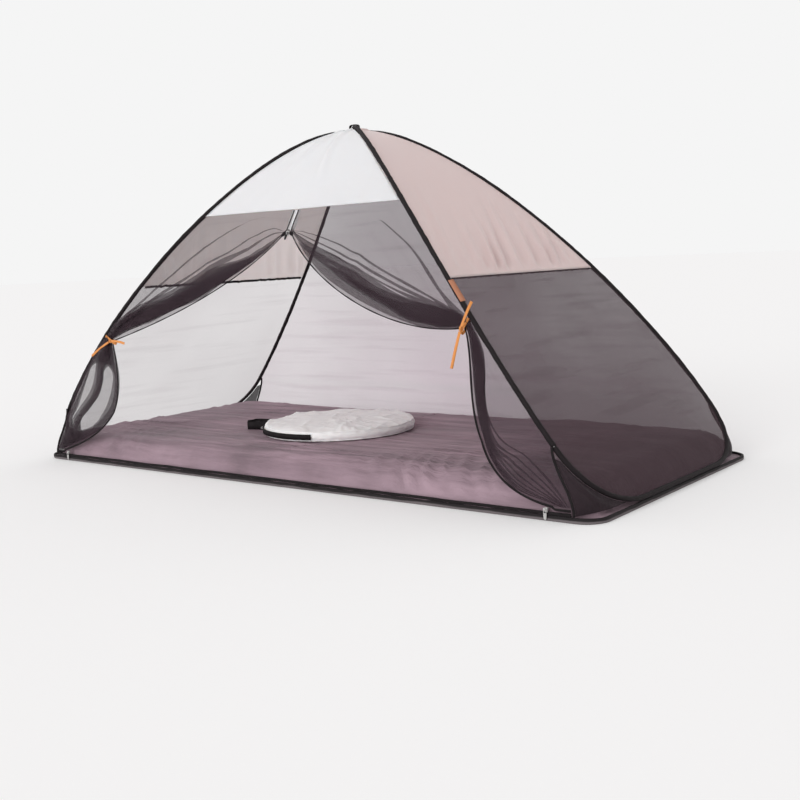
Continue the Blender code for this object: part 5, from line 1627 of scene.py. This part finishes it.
# Each fold of the strap: name, length and spread as shares of the solid's, and its solid
STRAP_FOLDS = (("bag_strap_loop", 1.0, 1.0, "bag_strap"), ("bag_strap_fold", 0.62, 0.55, None))
STRAP_STRETCH = 1.28


def bag_point(angle, radius, height):
    """Point round the bag's axis."""
    x, y = BAG_X + radius * math.cos(angle), BAG_Y + radius * math.sin(angle)
    return Vector((x, y, FLOOR_TOP + CLEARANCE + height))


def bag_profile():
    """Radius and height of the bag's shell from the middle of its base to the middle of its top."""
    made = [(share * BAG_RIM * 0.97, 0.0005) for share in (0.02, 0.2, 0.4, 0.6, 0.75, 0.88, 0.96)]
    made += [(BAG_RIM * wide, height) for wide, height in ((0.985, 0.0012), (0.992, 0.0035), (0.984, 0.0046))]
    for share in spaced(0.1, 0.9, 9):
        wide = 0.988 + 0.014 * math.sin(math.pi * share)
        made.append((BAG_RIM * wide, BAG_TOTAL * (0.16 + 0.72 * share)))
    for wide, high in ((0.984, 0.93), (0.988, 0.98), (0.980, 1.04), (0.962, 1.065), (0.955, 1.055)):
        made.append((BAG_RIM * wide, BAG_TOTAL * high))
    for share in spaced(0.94, 0.74, 10) + spaced(0.71, 0.50, 7) + spaced(0.46, 0.02, 11):
        made.append((BAG_RIM * share, BAG_TOTAL + 0.0018 + BAG_CROWN * (1 - share ** 3)))
    return made


def bag_wrinkle(angle, share):
    """How far the bag's cloth stands out or sinks at a place."""
    x, y = share * math.cos(angle), share * math.sin(angle)
    soft = 0.0042 * cloud(x * 2.4, y * 2.4, 1.3) + 0.0022 * cloud(x * 6.0, y * 6.0, 4.0)
    crumple = 0.0
    for size, turn, depth in BAG_CRUMPLES:
        u = x * math.cos(turn) + y * math.sin(turn)
        v = y * math.cos(turn) - x * math.sin(turn)
        crumple += depth * crease_line(cloud(u * size, v * size * 0.45, turn * 9), 5, 2)
    patch = smooth_step(-0.2, 0.4, cloud(x * 1.8 + 5, y * 1.8, 2.2))
    crumple *= 0.35 + 0.65 * patch + 0.5 * smooth_step(0, 0.8, x)
    radial = (1 - abs(math.sin(angle * 13 + 3 * cloud(x * 2, y * 2, 8.0)))) ** 2
    gather = 0.0045 * radial * smooth_step(0.45, 0.97, share)
    gather *= smooth_step(-0.35, 0.3, cloud(angle * 1.1, 2.0))
    ridge = 0.0045 * bump_at(angle, BAG_RIDGE_ANGLE, 0.022) * smooth_step(0.75, 0.95, share)
    crease = 0.0035 * bump_at(angle, BAG_CREASE_ANGLE, 0.10) * bump_at(share, 0.80, 0.018)
    return soft + crumple + gather + ridge - crease


def bag_ring(radius, height):
    """Ring of the bag's shell, dented where no zip stiffens its side."""
    share = radius / BAG_RADIUS
    top = smooth_step(BAG_TOTAL * 0.1, BAG_TOTAL * 0.6, height)
    side = smooth_step(0.955, 0.975, share)
    ring = []
    for k in range(BAG_STEPS):
        angle = 2 * math.pi * k / BAG_STEPS
        lift = bag_wrinkle(angle, share) * top
        dent = 0.0050 * cloud(angle * 3.2, height * 60, 3.0) + 0.0030 * cloud(angle * 11, height * 90, 6.0)
        zipped = smooth_step(BAG_ZIP_FIRST - BAG_ZIP_FADE, BAG_ZIP_FIRST, angle)
        zipped *= 1 - smooth_step(BAG_ZIP_LAST, BAG_ZIP_LAST + BAG_ZIP_FADE, angle)
        reach = radius - side * (abs(dent) * (1 - zipped) + 0.0008)
        ring.append(bag_point(angle, reach, height + lift * (1 - side * 0.7)))
    return ring


def build_bag():
    """Limp round bag with its zip and webbing strap."""
    points, faces, _ = tube_parts([bag_ring(radius, height) for radius, height in bag_profile()])
    uvs = [(point.x, point.y + point.z) for point in points]
    shell = add_mesh("bag_shell", points, faces, uvs, "bag_cloth", node="bag_gusset", body="bag")
    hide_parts("bag_top_panel", "bag_bottom_panel")
    build_bag_zip(BAG_PANEL + CLEARANCE + BAG_GUSSET / 2)
    build_bag_strap()


def build_bag_zip(height):
    """Black zip round the front of the bag's side, with its row of coils."""
    radius = BAG_RADIUS + CLEARANCE + TAPE_THICKNESS / 2
    angles = spaced(BAG_ZIP_FIRST, BAG_ZIP_LAST, 120)
    axis = Vector((BAG_X, BAG_Y, 0))
    path = [bag_point(angle, radius, height) for angle in angles]
    band("bag_zip_band", path, BAG_TAPE_WIDTH, TAPE_THICKNESS,
         lambda point, way: Vector((point.x, point.y, 0)) - axis, "black_tape",
         node="bag_zip_tape", body="bag")
    coil = [bag_point(angle, radius + COIL_RADIUS / 2, height) for angle in angles]
    teeth("bag_zip_coil", coil, COIL_RADIUS, body="bag")


def build_bag_strap():
    """Webbing loop folded flat beside the bag, with a tucked inner fold."""
    height = BAG_STRAP_WIDTH / 2 + CLEARANCE
    base = BAG_RADIUS + BAG_STRAP_THICKNESS / 2 + CLEARANCE
    for name, size, spread, node in STRAP_FOLDS:
        path = []
        for share in spaced(0, 1, 64):
            turn = 2 * share - 1
            angle = BAG_STRAP_ANGLE + BAG_STRAP_SPREAD * spread * turn * (1.2 - 0.5 * turn * turn)
            out = STRAP_STRETCH * BAG_STRAP_REACH * size * math.sqrt(max(0, 1 - turn ** 4))
            wave = 0.0040 * math.sin(share * 17 + size * 5) * math.sin(math.pi * share)
            path.append(bag_point(angle, base + out + wave, height))
        band(name, path, BAG_STRAP_WIDTH, BAG_STRAP_THICKNESS, lambda point, way: way.cross(UP),
             "black_tape", node=node, body="bag")


# Surfaces of the solids that stay in view
SOLID_SURFACES = {
    "steel": ("left_zip_slider", "right_zip_slider", "top_zip_slider", "left_zip_pull", "right_zip_pull",
              "bag_zip_slider", "bag_zip_pull", "spring_wire_a", "spring_wire_b", "wire_ferrule_left",
              "wire_ferrule_right"),
    "black_metal": ("top_zip_pull",),
    "black_tape": ("zip_top_stop",),
}


def paint_solids():
    """Give the solids that stay in view their surfaces."""
    for surface, nodes in SOLID_SURFACES.items():
        for node in nodes:
            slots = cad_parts[node].data.materials
            slots.clear()
            slots.append(MATERIALS[surface])


build_stage()
build_ribbons()
build_tab()
build_sleeves()
build_apex_band()
build_walls()
build_seams()
build_slit_flap()
build_corners()
build_hem()
build_floor()
build_curtains()
build_hem_zip()
build_bag()
paint_solids()
